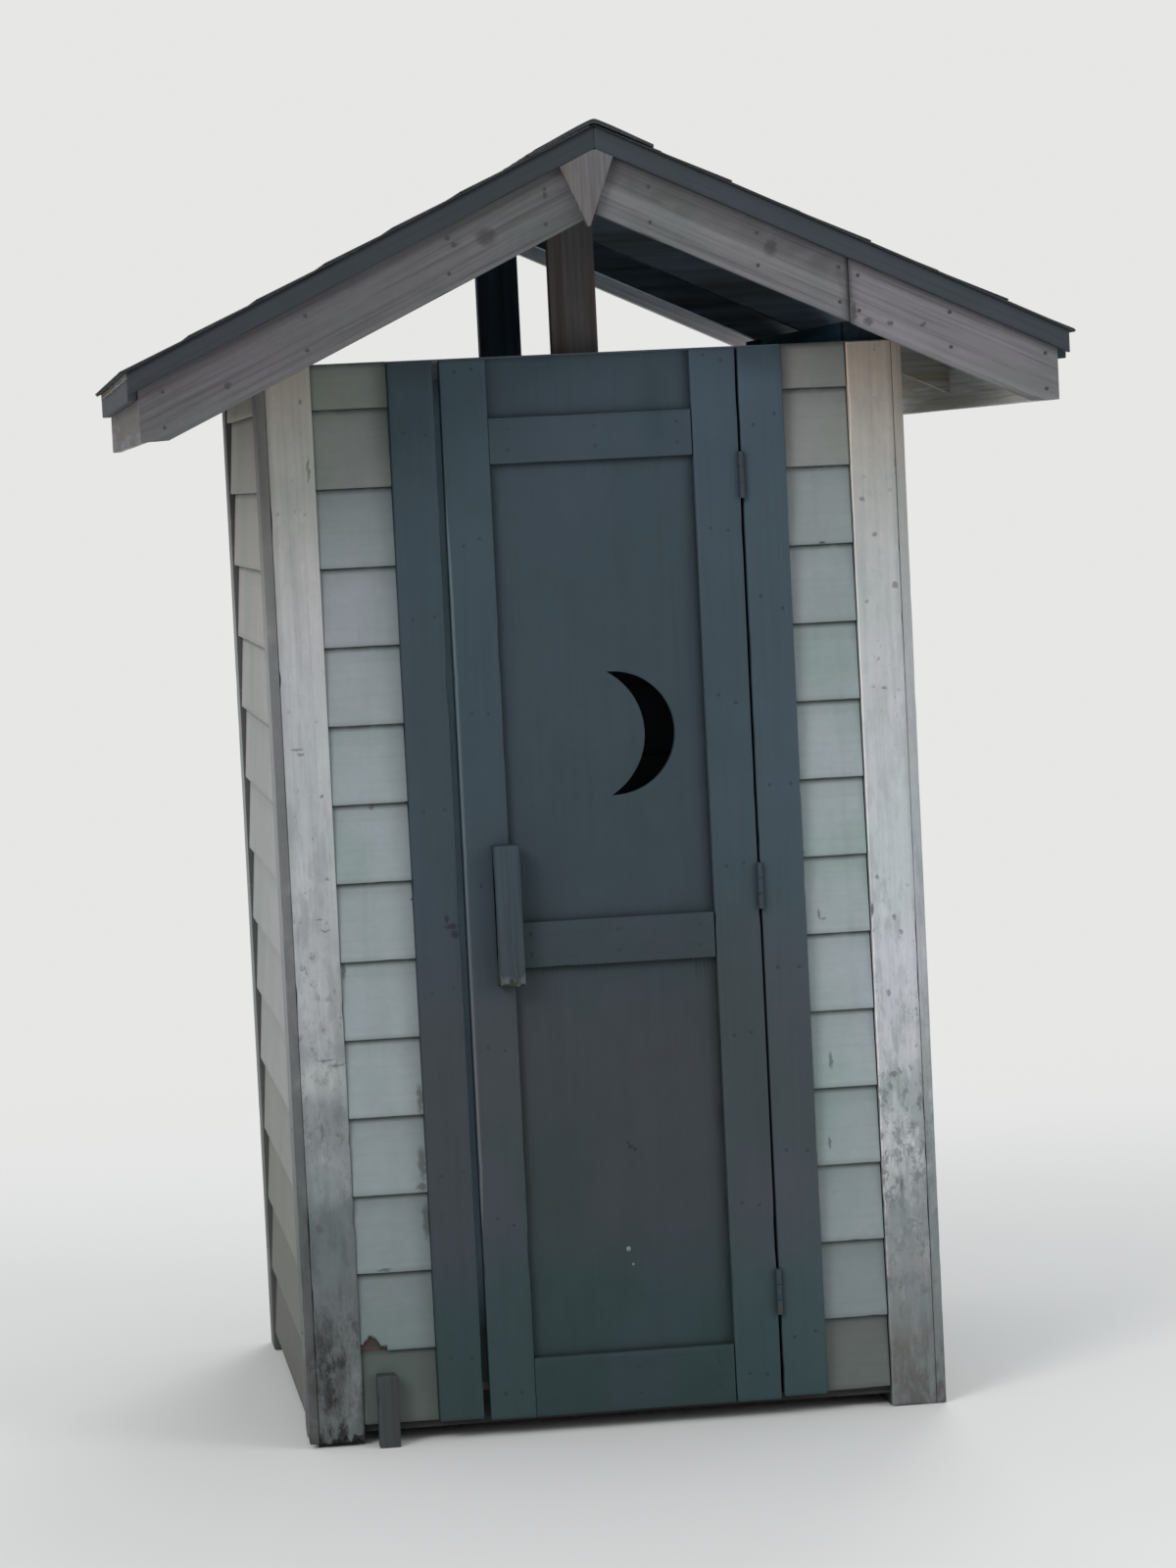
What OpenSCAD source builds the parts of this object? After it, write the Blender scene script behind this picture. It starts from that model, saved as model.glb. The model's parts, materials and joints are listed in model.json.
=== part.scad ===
// Wooden outhouse with lap siding, a ridge roof and a door that swings
// Front faces -Y, up is +Z, the origin is on the ground at the middle of the roof's plan

/* [Body] */
// Width over the corner boards
body_w = 1262; // [1000:1:1800]
// Depth over the corner boards
body_d = 1200; // [1000:1:1800]
// Height of the siding's lower edge above the ground
siding_foot = 40; // [0:1:60]

/* [Siding] */
// Height of one lap that shows
course = 152.4; // [100:0.1:200]
// Height of the lowest lap
first_course = 143; // [60:1:200]
// Thickness at a lap's lower edge
butt_t = 16; // [10:0.5:18]
// Thickness where a lap runs under the next one
lap_t = 6; // [3:0.5:8]
// Width of the chip at the foot of the second lap beside the left corner
chip_w = 70; // [10:1:100]
// Height of that chip
chip_h = 36; // [10:1:80]
// Depth of that chip
chip_d = 12; // [4:0.5:14]

/* [Timber] */
// Thickness of a framing timber
stud_t = 38; // [30:1:50]
// Depth of a framing timber, and side of a post
stud_d = 89; // [70:1:100]
// Thickness of a trim board
board_t = 19; // [17:0.5:25]
// Width of a corner board's face, with the edge of the board round the corner
corner_w = 108; // [80:1:140]
// Depth of a floor joist
joist_h = 64; // [50:1:85]
// Thickness of the floor
floor_t = 19; // [15:1:40]

/* [Doorway] */
// How far the doorway lies right of the middle
door_shift = 7.5; // [-20:0.1:20]
// Width of a casing
casing_w = 86.5; // [60:0.5:110]
// Thickness of a casing
casing_t = 38; // [36:1:50]
// How far the door posts stand in past the casings, behind the leaf
rebate = 22; // [18:1:40]

/* [Door] */
// Width of the leaf
leaf_w = 575; // [480:1:760]
// Height of the leaf
leaf_h = 2060; // [1800:1:2300]
// Height of the leaf's lower edge above the ground
leaf_foot = 36; // [20:1:60]
// Thickness of the panel
panel_t = 16; // [12:0.5:19]
// Thickness of the stiles and rails on the panel
ledge_t = 17; // [12:0.5:17]
// Width of a stile
stile_w = 89; // [60:1:120]
// Width of the top and middle rails
rail_w = 89; // [60:1:120]
// Width of the bottom rail
bottom_rail_w = 115; // [60:1:160]
// From the top rail's upper edge to the leaf's top
top_rail_drop = 114; // [0:1:300]
// Lower edge of the middle rail above the leaf's foot
mid_rail_z = 879; // [600:1:1100]
// Clearance at the hinge side of the leaf, and behind it
leaf_gap = 5; // [5:0.5:8]
// Clearance at the free side of the leaf
latch_gap = 14; // [5:0.5:16]
// From the leaf's top to the wall top
head_gap = 4; // [4:1:40]

/* [Moon] */
// Radius of the crescent's outer arc
moon_r = 120; // [60:1:130]
// Radius of the circle that hollows the crescent
hollow_r = 139; // [60:1:170]
// How far the hollow's centre lies left of the outer arc's centre
hollow_shift = 78.5; // [40:0.5:120]
// Outer arc's centre from the leaf's left edge
moon_x = 307; // [280:1:330]
// Outer arc's centre above the leaf's foot
moon_z = 1325; // [1150:1:1600]

/* [Pull] */
// Length of the wooden pull
pull_h = 277; // [150:1:350]
// Width of the pull
pull_w = 50; // [25:1:60]
// How far the pull stands off the stile
pull_d = 46; // [35:1:60]
// Thickness of the pull's grip
grip_t = 24; // [15:1:28]
// Height of each of the pull's feet
pull_foot = 42; // [25:1:60]
// Middle of the pull from the leaf's left edge
pull_x = 80; // [40:1:110]
// Middle of the pull above the leaf's foot
pull_z = 985; // [800:1:1100]

/* [Hinges] */
// Height of a hinge
hinge_h = 90; // [60:1:120]
// Outer radius of a hinge's knuckle
knuckle_r = 6; // [5:0.5:8]
// Radius of a hinge's pin
pin_r = 3; // [2:0.1:3.5]
// Clearance between pin and knuckle
pin_gap = 0.1; // [0.05:0.01:0.1]
// Clearance between knuckles, and between a knuckle and the casing's face
knuckle_gap = 1; // [0.5:0.1:2]
// Thickness of a hinge's plate
plate_t = 2; // [1:0.1:2]
// Depth of a hinge's plate
plate_d = 28; // [20:1:32]
// Middle of the lowest hinge above the leaf's foot
hinge_low = 214; // [120:1:400]
// From the middle of the highest hinge to the leaf's top
hinge_drop = 246; // [120:1:400]

/* [Roof] */
// Pitch of the roof in degrees
pitch = 25.2; // [15:0.1:35]
// Depth of a rafter
rafter_h = 89; // [70:1:120]
// Depth of the notch that seats a rafter on the wall plate
heel = 30; // [15:1:35]
// Thickness of the roof deck
deck_t = 12; // [9:1:19]
// Thickness of the shingles
shingle_t = 8; // [5:0.5:12]
// Thickness of the ridge cap
cap_t = 3; // [2:0.5:6]
// Width of one side of the ridge cap
cap_w = 125; // [80:1:180]
// Depth of the ridge board
ridge_h = 114; // [100:1:160]
// From the corner boards' face to the back of the front barge boards
front_overhang = 320; // [150:1:450]
// From the rear corner boards' face to the back of the rear barge boards
rear_overhang = 150; // [60:1:450]
// From the side corner boards' face to the fascia's outer face
side_overhang = 235; // [120:1:350]
// How far the shingles reach past the trim at the eaves
eave_drip = 15; // [5:1:30]
// How far the shingles reach past the trim at the rakes
rake_drip = 8; // [4:1:20]
// Width of a front barge board
barge_w = 146; // [100:1:180]
// Width of a rear barge board
rear_barge_w = 114; // [90:1:140]
// Width of the rake and eave trim
trim_w = 38; // [25:1:50]
// Height of the fascia's outer face below the deck
fascia_h = 124; // [110:1:160]
// From the middle to the splice in the right barge board
splice_x = 470; // [200:1:600]
// Width of the open joint at the splice
splice_gap = 1.5; // [0.5:0.5:4]
// Width of the king posts
king_w = 89; // [60:1:120]
// How far the rear king post stands left of the front one
rear_king_shift = 27; // [0:1:30]
// Width of the open joints where two boards of a like kind meet
saw_gap = 0.4; // [0.2:0.1:2]
// Upright clearance between the roof's layers
seam = 0.05; // [0.02:0.01:0.5]

/* [Peak] */
// Width of the wedge at the peak
wedge_w = 100; // [60:1:160]
// How far the wedge's tip hangs below the barge boards' joint
wedge_drop = 24; // [5:1:60]
// How far the wedge sits left of the middle
wedge_shift = 16; // [0:1:30]

/* [Foot block] */
// Side of the block at the foot of the left strip
block_w = 40; // [20:1:60]
// Height of the block
block_h = 143; // [60:1:200]
// From the left corner board's inner edge to the block
block_in = 27; // [5:1:60]

/* [Hidden] */
$fn = 96;

// Plan of the frame, which the siding and the trim boards are nailed to
frame_x = body_w / 2 - board_t;
body_y = (front_overhang - rear_overhang) / 2;
front_y = body_y - body_d / 2 + board_t;
rear_y = body_y + body_d / 2 - board_t;
mid_y = (front_y + rear_y) / 2;

// Levels of the frame, whose wall top follows the leaf's height
wall_top = leaf_foot + leaf_h + head_gap;
floor_z = stud_d + floor_t;
stud_foot = floor_z + stud_t;
stud_head = wall_top - stud_t;
seat_z = wall_top + stud_t;

// Doorway between the casings
opening_w = leaf_w + leaf_gap + latch_gap;
open_left = door_shift - opening_w / 2;
open_right = door_shift + opening_w / 2;

// Leaf, drawn with its lower right corner at the origin and its face towards -Y
leaf_t = panel_t + ledge_t;
top_rail_z = leaf_h - top_rail_drop - rail_w;
leaf_x = open_right - leaf_gap;
leaf_y = front_y - leaf_gap - leaf_t;
hinge_x = open_right - leaf_gap / 2;
hinge_y = front_y - casing_t - knuckle_r - knuckle_gap;
hinge_high = leaf_h - hinge_drop;
hinge_zs = [hinge_low, (hinge_low + hinge_high) / 2, hinge_high];

// Roof lines, each the height at the middle of a face that falls with the pitch
slope = tan(pitch);
function upright(t) = t / cos(pitch);
function fall(top, x) = top - slope * x;
low_line = seat_z - heel + slope * frame_x;
rafter_line = low_line + upright(rafter_h);
deck_line = rafter_line + seam + upright(deck_t);
shingle_line = deck_line + seam + upright(shingle_t);
cap_line = shingle_line + seam + upright(cap_t);
corner_top = fall(low_line, body_w / 2) - saw_gap;
barge_low = deck_line - upright(barge_w);
trim_low = deck_line - upright(trim_w);

// Roof plan
fascia_x = body_w / 2 + side_overhang;
eave_x = fascia_x + board_t;
deck_y = (front_overhang + rear_overhang + body_d) / 2;
barge_y = deck_y + board_t;
trim_y = barge_y + board_t;
fascia_low = fall(rafter_line, fascia_x) - fascia_h;
ridge_low = fall(rafter_line, board_t / 2) - ridge_h;

// Length of a side wall's laps between its corner boards
side_run = body_d - 2 * corner_w;

// Heights of the laps, from the lowest edge to the last one under the top
function lap_z(i) = i == 0 ? siding_foot : siding_foot + first_course + (i - 1) * course;
function lap_count(top) = 1 + ceil((top - siding_foot - first_course) / course);

// Thickness left where a lap is cut off at a height before it runs under the next one
function lap_end(i, z) = butt_t - (butt_t - lap_t) * (z - lap_z(i)) / (lap_z(i + 1) - lap_z(i));

// Outline of the laps, with the frame's face at zero and the outside negative
function laps(top) = concat(
    [[0, top], [0, siding_foot]],
    [for (i = [0 : lap_count(top) - 1])
        let (head = min(lap_z(i + 1), top))
        each [[-butt_t, lap_z(i)], [-lap_end(i, head), head]]]
);

// A wall of laps that faces -Y and runs from zero towards +X
module lap_wall(length, top) {
    rotate([90, 0, 90])
        linear_extrude(length)
            polygon(laps(top));
}

// An outline in X and Z carried from one Y to another
module across(points, y0, y1) {
    translate([0, y1, 0])
        rotate([90, 0, 0])
            linear_extrude(y1 - y0)
                polygon(points);
}

// A box between two corners
module block(low, high) {
    translate(low)
        cube(high - low);
}

// A solid and its twin on the other side of the middle
module both_sides() {
    children();
    mirror([1, 0, 0])
        children();
}

// A sloping strip of the right slope between two lines
function strip(top, low, x0, x1) = [
    [x0, fall(top, x0)], [x1, fall(top, x1)], [x1, fall(low, x1)], [x0, fall(low, x0)]
];

module skids() {
    color("dimgray")
        both_sides()
            block([frame_x - stud_d, front_y, 0], [frame_x, rear_y, stud_d]);
}

module floor_joists() {
    color("dimgray")
        for (y = [front_y, mid_y - stud_t / 2, rear_y - stud_t])
            block([stud_d - frame_x, y, stud_d - joist_h], [frame_x - stud_d, y + stud_t, stud_d]);
}

module floor() {
    color("gray")
        block([-frame_x, front_y, stud_d], [frame_x, rear_y, floor_z]);
}

module sole_plates() {
    inner_x = frame_x - stud_d;
    color("dimgray") {
        both_sides()
            block([inner_x, front_y + stud_d, floor_z], [frame_x, rear_y - stud_d, stud_foot]);
        block([saw_gap - inner_x, rear_y - stud_d, floor_z], [inner_x - saw_gap, rear_y, stud_foot]);
        block([saw_gap - inner_x, front_y, floor_z], [open_left + rebate - stud_t, front_y + stud_d, stud_foot]);
        block(
            [open_right - rebate + stud_t, front_y, floor_z],
            [inner_x - saw_gap, front_y + stud_d, stud_foot]
        );
    }
}

module corner_posts() {
    color("dimgray")
        both_sides()
            for (y = [front_y, rear_y - stud_d])
                block([frame_x - stud_d, y, floor_z], [frame_x, y + stud_d, stud_head]);
}

module door_posts() {
    color("dimgray")
        for (x = [open_left + rebate - stud_t, open_right - rebate])
            block([x, front_y, floor_z], [x + stud_t, front_y + stud_d, stud_head]);
}

module wall_studs() {
    color("dimgray") {
        both_sides()
            block([frame_x - stud_d, mid_y - stud_t / 2, stud_foot], [frame_x, mid_y + stud_t / 2, stud_head]);
        block([-stud_t / 2, rear_y - stud_d, stud_foot], [stud_t / 2, rear_y, stud_head]);
    }
}

module front_top_plate() {
    color("dimgray")
        block([-frame_x, front_y, stud_head], [frame_x, front_y + stud_d, wall_top]);
}

module rear_top_plate() {
    color("dimgray")
        block([-frame_x, rear_y - stud_d, stud_head], [frame_x, rear_y, wall_top]);
}

// Each side plate is doubled: the lower one between the end plates, the upper one over them
module side_top_plates() {
    inner_x = frame_x - stud_d;
    color("dimgray")
        both_sides() {
            block([inner_x, front_y + stud_d, stud_head], [frame_x, rear_y - stud_d, wall_top]);
            block([inner_x, front_y, wall_top], [frame_x, rear_y, seat_z]);
        }
}

module siding_front_left() {
    strip_left = corner_w - body_w / 2;
    color("lightslategray")
        difference() {
            translate([strip_left, front_y, 0])
                lap_wall(open_left - casing_w - strip_left, wall_top);
            across(
                [
                    [strip_left - 1, lap_z(1) - 1], [strip_left + chip_w, lap_z(1) - 1],
                    [strip_left + chip_w * 0.75, lap_z(1) + chip_h * 0.45],
                    [strip_left + chip_w * 0.45, lap_z(1) + chip_h], [strip_left - 1, lap_z(1) + chip_h * 0.4]
                ],
                front_y - butt_t - 1, front_y - butt_t + chip_d
            );
        }
}

module siding_front_right() {
    strip_left = open_right + casing_w;
    color("lightslategray")
        translate([strip_left, front_y, 0])
            lap_wall(body_w / 2 - corner_w - strip_left, wall_top);
}

module siding_left() {
    color("lightslategray")
        translate([-frame_x, body_y + side_run / 2, 0])
            rotate([0, 0, -90])
                lap_wall(side_run, wall_top);
}

module siding_right() {
    color("lightslategray")
        translate([frame_x, body_y - side_run / 2, 0])
            rotate([0, 0, 90])
                lap_wall(side_run, wall_top);
}

module siding_rear() {
    color("lightslategray")
        translate([body_w / 2 - corner_w, rear_y, 0])
            rotate([0, 0, 180])
                lap_wall(body_w - 2 * corner_w, wall_top);
}

// Two boards at the front right corner, cut off under the rafters: one on the end wall, one on the side wall
module corner_pair() {
    outer_x = frame_x + board_t;
    face_y = body_y - body_d / 2;
    block([body_w / 2 - corner_w, face_y, 0], [outer_x, front_y, corner_top]);
    block([frame_x, front_y + saw_gap, 0], [outer_x, face_y + corner_w, corner_top]);
}

// The same pair at a rear corner
module rear_corner_pair() {
    translate([0, 2 * body_y, 0])
        mirror([0, 1, 0])
            corner_pair();
}

module corner_front_left() {
    color("gainsboro")
        mirror([1, 0, 0])
            corner_pair();
}

module corner_front_right() {
    color("gainsboro")
        corner_pair();
}

module corner_rear_left() {
    color("gainsboro")
        mirror([1, 0, 0])
            rear_corner_pair();
}

module corner_rear_right() {
    color("gainsboro")
        rear_corner_pair();
}

module casing_left() {
    color("darkslategray")
        block([open_left - casing_w, front_y - casing_t, siding_foot], [open_left, front_y, wall_top]);
}

module casing_right() {
    color("darkslategray")
        block([open_right, front_y - casing_t, siding_foot], [open_right + casing_w, front_y, wall_top]);
}

module king_posts() {
    color("dimgray")
        for (post = [[0, front_y + stud_t], [-rear_king_shift, rear_y - 2 * stud_t]])
            translate([post[0], post[1], 0])
                block([-king_w / 2, 0, wall_top], [king_w / 2, stud_t, ridge_low]);
}

module ridge_board() {
    half = board_t / 2;
    color("dimgray")
        across(
            [
                [-half, ridge_low], [half, ridge_low], [half, fall(rafter_line, half)],
                [0, rafter_line], [-half, fall(rafter_line, half)]
            ],
            -deck_y, deck_y
        );
}

// Three rafters of the right slope, each notched over the wall plate
module rafters() {
    head = board_t / 2;
    tail = fascia_x - board_t;
    seat_end = frame_x - heel / slope;
    for (y = [front_y, mid_y - stud_t / 2, rear_y - stud_t])
        across(
            [
                [head, fall(rafter_line, head)], [tail, fall(rafter_line, tail)], [tail, fall(low_line, tail)],
                [frame_x, fall(low_line, frame_x)], [frame_x, seat_z], [seat_end, seat_z],
                [head, fall(low_line, head)]
            ],
            y, y + stud_t
        );
}

module rafters_left() {
    color("dimgray")
        mirror([1, 0, 0])
            rafters();
}

module rafters_right() {
    color("dimgray")
        rafters();
}

module deck_half() {
    across(strip(deck_line, rafter_line + seam, 0, eave_x), -deck_y, deck_y);
}

module roof_deck_left() {
    color("midnightblue")
        mirror([1, 0, 0])
            deck_half();
}

module roof_deck_right() {
    color("midnightblue")
        deck_half();
}

module shingle_half() {
    edge_y = trim_y + rake_drip;
    across(strip(shingle_line, deck_line + seam, 0, eave_x + eave_drip), -edge_y, edge_y);
}

module shingles_left() {
    color("#303236")
        mirror([1, 0, 0])
            shingle_half();
}

module shingles_right() {
    color("#303236")
        shingle_half();
}

module ridge_cap() {
    edge_y = trim_y + rake_drip;
    reach = cap_w * cos(pitch);
    low = shingle_line + seam;
    color("#303236")
        across(
            [
                [0, cap_line], [reach, fall(cap_line, reach)], [reach, fall(low, reach)],
                [0, low], [-reach, fall(low, reach)], [-reach, fall(cap_line, reach)]
            ],
            -edge_y, edge_y
        );
}

module rake_trim_front() {
    color("#4a5462")
        both_sides()
            across(strip(deck_line, trim_low, saw_gap / 2, eave_x), -trim_y, -barge_y);
}

module rake_trim_rear() {
    color("#4a5462")
        both_sides()
            across(strip(deck_line, trim_low, saw_gap / 2, eave_x), barge_y, trim_y);
}

module eave_trims() {
    low = fall(rafter_line, eave_x) - trim_w;
    color("#4a5462")
        both_sides()
            across(
                [
                    [fascia_x, fall(rafter_line, fascia_x)], [eave_x, fall(rafter_line, eave_x)],
                    [eave_x, low], [fascia_x, low]
                ],
                -deck_y, deck_y
            );
}

module fascias() {
    inner = fascia_x - board_t;
    color("#7c757c")
        both_sides()
            across(
                [
                    [inner, fall(rafter_line, inner)], [fascia_x, fall(rafter_line, fascia_x)],
                    [fascia_x, fascia_low], [inner, fascia_low]
                ],
                -deck_y, deck_y
            );
}

// Front barge board at the right between two distances from the middle, its foot cut level with the fascia
function barge(x0, x1) = x1 < fascia_x
    ? strip(deck_line, barge_low, x0, x1)
    : [
        [x0, fall(deck_line, x0)], [x1, fall(deck_line, x1)], [x1, fascia_low],
        [(barge_low - fascia_low) / slope, fascia_low], [x0, fall(barge_low, x0)]
    ];

module barge_front_left() {
    color("#7c757c")
        mirror([1, 0, 0])
            across(barge(0, fascia_x), -barge_y, -deck_y);
}

module barge_front_right() {
    color("#7c757c") {
        across(barge(0, splice_x - splice_gap / 2), -barge_y, -deck_y);
        across(barge(splice_x + splice_gap / 2, fascia_x), -barge_y, -deck_y);
    }
}

module barge_rear() {
    low = deck_line - upright(rear_barge_w);
    color("#7c757c")
        both_sides()
            across(strip(deck_line, low, saw_gap / 2, fascia_x), deck_y, barge_y);
}

module peak_wedge() {
    left = -wedge_shift - wedge_w / 2;
    right = wedge_w / 2 - wedge_shift;
    top = trim_low - seam;
    color("#8a8288")
        across(
            [
                [left, fall(top, -left)], [0, top], [right, fall(top, right)],
                [-wedge_shift, barge_low - wedge_drop]
            ],
            -trim_y, -barge_y
        );
}

module foot_block() {
    block_x = corner_w - body_w / 2 + block_in;
    face_y = front_y - butt_t;
    color("#6f6960")
        block([block_x, face_y - block_w, 0], [block_x + block_w, face_y, block_h]);
}

// Upright hinge barrel between two heights, about the hinge axis
module knuckle(z0, z1) {
    translate([0, 0, z0])
        cylinder(r = knuckle_r, h = z1 - z0);
}

// Fixed side of each hinge: two knuckles, and a plate on the casing's inner edge
module jamb_hinges() {
    third = hinge_h / 3;
    gap = knuckle_gap / 2;
    reach = open_right - hinge_x;
    color("silver")
        for (z = hinge_zs)
            translate([hinge_x, hinge_y, leaf_foot + z - hinge_h / 2])
                difference() {
                    union() {
                        for (z0 = [0, 2 * third + gap])
                            knuckle(z0, z0 + third - gap);
                        for (z0 = [0, 2 * third + gap])
                            block([reach - plate_t, 0, z0], [reach, knuckle_r + knuckle_gap + 1, z0 + third - gap]);
                        block(
                            [reach - plate_t, knuckle_r + knuckle_gap, 0],
                            [reach, knuckle_r + knuckle_gap + plate_d, hinge_h]
                        );
                    }
                    translate([0, 0, -1])
                        cylinder(r = pin_r + pin_gap, h = hinge_h + 2);
                }
}

// Puts a piece that is drawn from the leaf's lower right corner in its place
module hang() {
    translate([leaf_x, leaf_y, leaf_foot])
        children();
}

// Box on the leaf from its left edge, its face and its foot
module leaf_block(low, high) {
    hang()
        translate([-leaf_w, 0, 0])
            block(low, high);
}

module door_panel() {
    color("#3d444c")
        difference() {
            leaf_block([0, ledge_t, 0], [leaf_w, leaf_t, leaf_h]);
            hang()
                translate([moon_x - leaf_w, leaf_t + 1, moon_z])
                    rotate([90, 0, 0])
                        linear_extrude(panel_t + 2)
                            difference() {
                                circle(r = moon_r);
                                translate([-hollow_shift, 0])
                                    circle(r = hollow_r);
                            }
        }
}

module door_stiles() {
    color("#464e57") {
        leaf_block([0, 0, 0], [stile_w, ledge_t, leaf_h]);
        leaf_block([leaf_w - stile_w, 0, 0], [leaf_w, ledge_t, leaf_h]);
    }
}

module door_rails() {
    color("#464e57")
        for (rail = [[0, bottom_rail_w], [mid_rail_z, rail_w], [top_rail_z, rail_w]])
            leaf_block([stile_w, 0, rail[0]], [leaf_w - stile_w, ledge_t, rail[0] + rail[1]]);
}

// Wooden pull with a finger gap behind its grip
module door_pull() {
    color("#5d5a55")
        hang()
            translate([pull_x - leaf_w - pull_w / 2, 0, pull_z - pull_h / 2])
                rotate([90, 0, 90])
                    linear_extrude(pull_w)
                        polygon([
                            [0, 0], [0, pull_foot], [grip_t - pull_d, pull_foot + pull_d - grip_t],
                            [grip_t - pull_d, pull_h - pull_foot - pull_d + grip_t], [0, pull_h - pull_foot],
                            [0, pull_h], [-pull_d, pull_h], [-pull_d, 0]
                        ]);
}

// Moving side of each hinge: the middle knuckle with the pin, a web, and a plate on the leaf's edge
module leaf_hinges() {
    third = hinge_h / 3;
    gap = knuckle_gap / 2;
    plate_y = casing_t - leaf_gap - leaf_t;
    color("silver")
        for (z = hinge_zs)
            union() {
                translate([hinge_x, hinge_y, leaf_foot + z - hinge_h / 2]) {
                    knuckle(third + gap, 2 * third - gap);
                    cylinder(r = pin_r, h = hinge_h);
                    block([-leaf_gap / 2, knuckle_r - plate_t, third + gap], [0, knuckle_r, 2 * third - gap]);
                }
                hang() {
                    block(
                        [0, -plate_y, z - hinge_h / 2],
                        [plate_t, plate_d - plate_y, z + hinge_h / 2]
                    );
                    block(
                        [0, -plate_y - knuckle_gap - plate_t, z - hinge_h / 6 + gap],
                        [plate_t, 0, z + hinge_h / 6 - gap]
                    );
                }
            }
}

skids();
floor_joists();
floor();
sole_plates();
corner_posts();
door_posts();
wall_studs();
front_top_plate();
rear_top_plate();
side_top_plates();
siding_front_left();
siding_front_right();
siding_left();
siding_right();
siding_rear();
corner_front_left();
corner_front_right();
corner_rear_left();
corner_rear_right();
casing_left();
casing_right();
king_posts();
ridge_board();
rafters_left();
rafters_right();
roof_deck_left();
roof_deck_right();
shingles_left();
shingles_right();
ridge_cap();
rake_trim_front();
rake_trim_rear();
eave_trims();
fascias();
barge_front_left();
barge_front_right();
barge_rear();
peak_wedge();
foot_block();
jamb_hinges();
door_panel();
door_stiles();
door_rails();
door_pull();
leaf_hinges();
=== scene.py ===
"""Looks of a wooden outhouse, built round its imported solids: boards, laps, shingles, nails and finishes.

Metres, in the frame of the solids: the ground is z = 0, the door side faces -Y and +X is to its right.
"""
import json
import math

import bpy
import numpy as np
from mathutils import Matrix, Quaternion, Vector


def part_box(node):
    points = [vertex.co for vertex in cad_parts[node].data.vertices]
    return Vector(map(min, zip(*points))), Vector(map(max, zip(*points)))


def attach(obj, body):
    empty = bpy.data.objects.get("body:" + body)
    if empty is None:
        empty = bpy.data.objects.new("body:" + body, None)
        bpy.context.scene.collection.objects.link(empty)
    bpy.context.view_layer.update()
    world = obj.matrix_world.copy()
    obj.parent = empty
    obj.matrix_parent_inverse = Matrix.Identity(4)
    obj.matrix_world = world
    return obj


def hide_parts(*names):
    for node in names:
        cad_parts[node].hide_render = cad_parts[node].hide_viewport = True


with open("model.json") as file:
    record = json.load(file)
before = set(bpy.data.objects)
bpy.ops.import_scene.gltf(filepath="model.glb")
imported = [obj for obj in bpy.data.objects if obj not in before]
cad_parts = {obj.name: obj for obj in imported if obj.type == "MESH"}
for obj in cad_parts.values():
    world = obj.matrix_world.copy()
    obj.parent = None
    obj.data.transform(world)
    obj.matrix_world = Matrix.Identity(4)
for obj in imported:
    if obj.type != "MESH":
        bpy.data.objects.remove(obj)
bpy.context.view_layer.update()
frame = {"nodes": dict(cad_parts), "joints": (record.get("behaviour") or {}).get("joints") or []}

bl_info = {
    "name": "Outhouse looks",
    "version": (1, 0, 0),
    "blender": (4, 5, 0),
    "location": "3D View > Sidebar > Outhouse",
    "description": "Boards, lap siding, shingles, nails and weathered finishes for the outhouse",
    "category": "Add Mesh",
}

X, Y, Z = np.eye(3)


def low(node):
    """Lowest corner of a solid's box."""
    return np.array(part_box(node)[0])


def high(node):
    """Highest corner of a solid's box."""
    return np.array(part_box(node)[1])


# Places that several pieces share, read from the solids
FRONT = high("siding_front_left")[1]
SIDE = low("siding_right")[0]
WALL_TOP = high("siding_left")[2]
ROOF_REACH, ROOF_END = high("shingles_right")[:2]
BARGE_TOP = high("barge_front_left")[2]
HINGE = np.array(frame["joints"][0]["pos_m"])

# Facts of the part's source that its boxes don't give
PITCH = math.radians(25.2)
SLOPE, UPRIGHT = math.tan(PITCH), 1 / math.cos(PITCH)
TRIM = 0.019
BUTT, LAP_TOP = 0.016, 0.006
LEAF_WIDTH, LEAF_HEIGHT, LEAF_THICK = 0.575, 2.060, 0.033
LEDGE, STILE, LOW_RAIL = 0.017, 0.089, 0.115
MIDDLE_RAIL, TOP_RAIL = 0.879, 1.857
LEAF_CORNER = np.array([HINGE[0] - 0.0025, FRONT - 0.038, 0.036])
OUTER_ARC, HOLLOW_ARC, ARC_SHIFT = 0.120, 0.139, 0.0785
CRESCENT_PLACE = (-0.268, 1.325)
SPLICE = 0.470

# Where the faces that carry marks lie along Y
LAP_FACE, CORNER_FACE, CASING_FACE, LEAF_FACE, BARGE_FACE = -0.509, -0.515, -0.534, -0.517, -0.854

# The outer arc's share of the crescent's outline, the height that colour bands span, and the angle between
# two faces from which they are shaded as an edge
OUTER_SHARE, BAND_SPAN, EDGE_ANGLE = 0.56, 2.6, math.radians(38)

# The photograph's angle
CAMERA_PLACE, CAMERA_AIM, CAMERA_ROLL = (-1.178, -9.563, 1.859), (0.0036, -0.300, 1.251), math.radians(-2.78)


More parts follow.
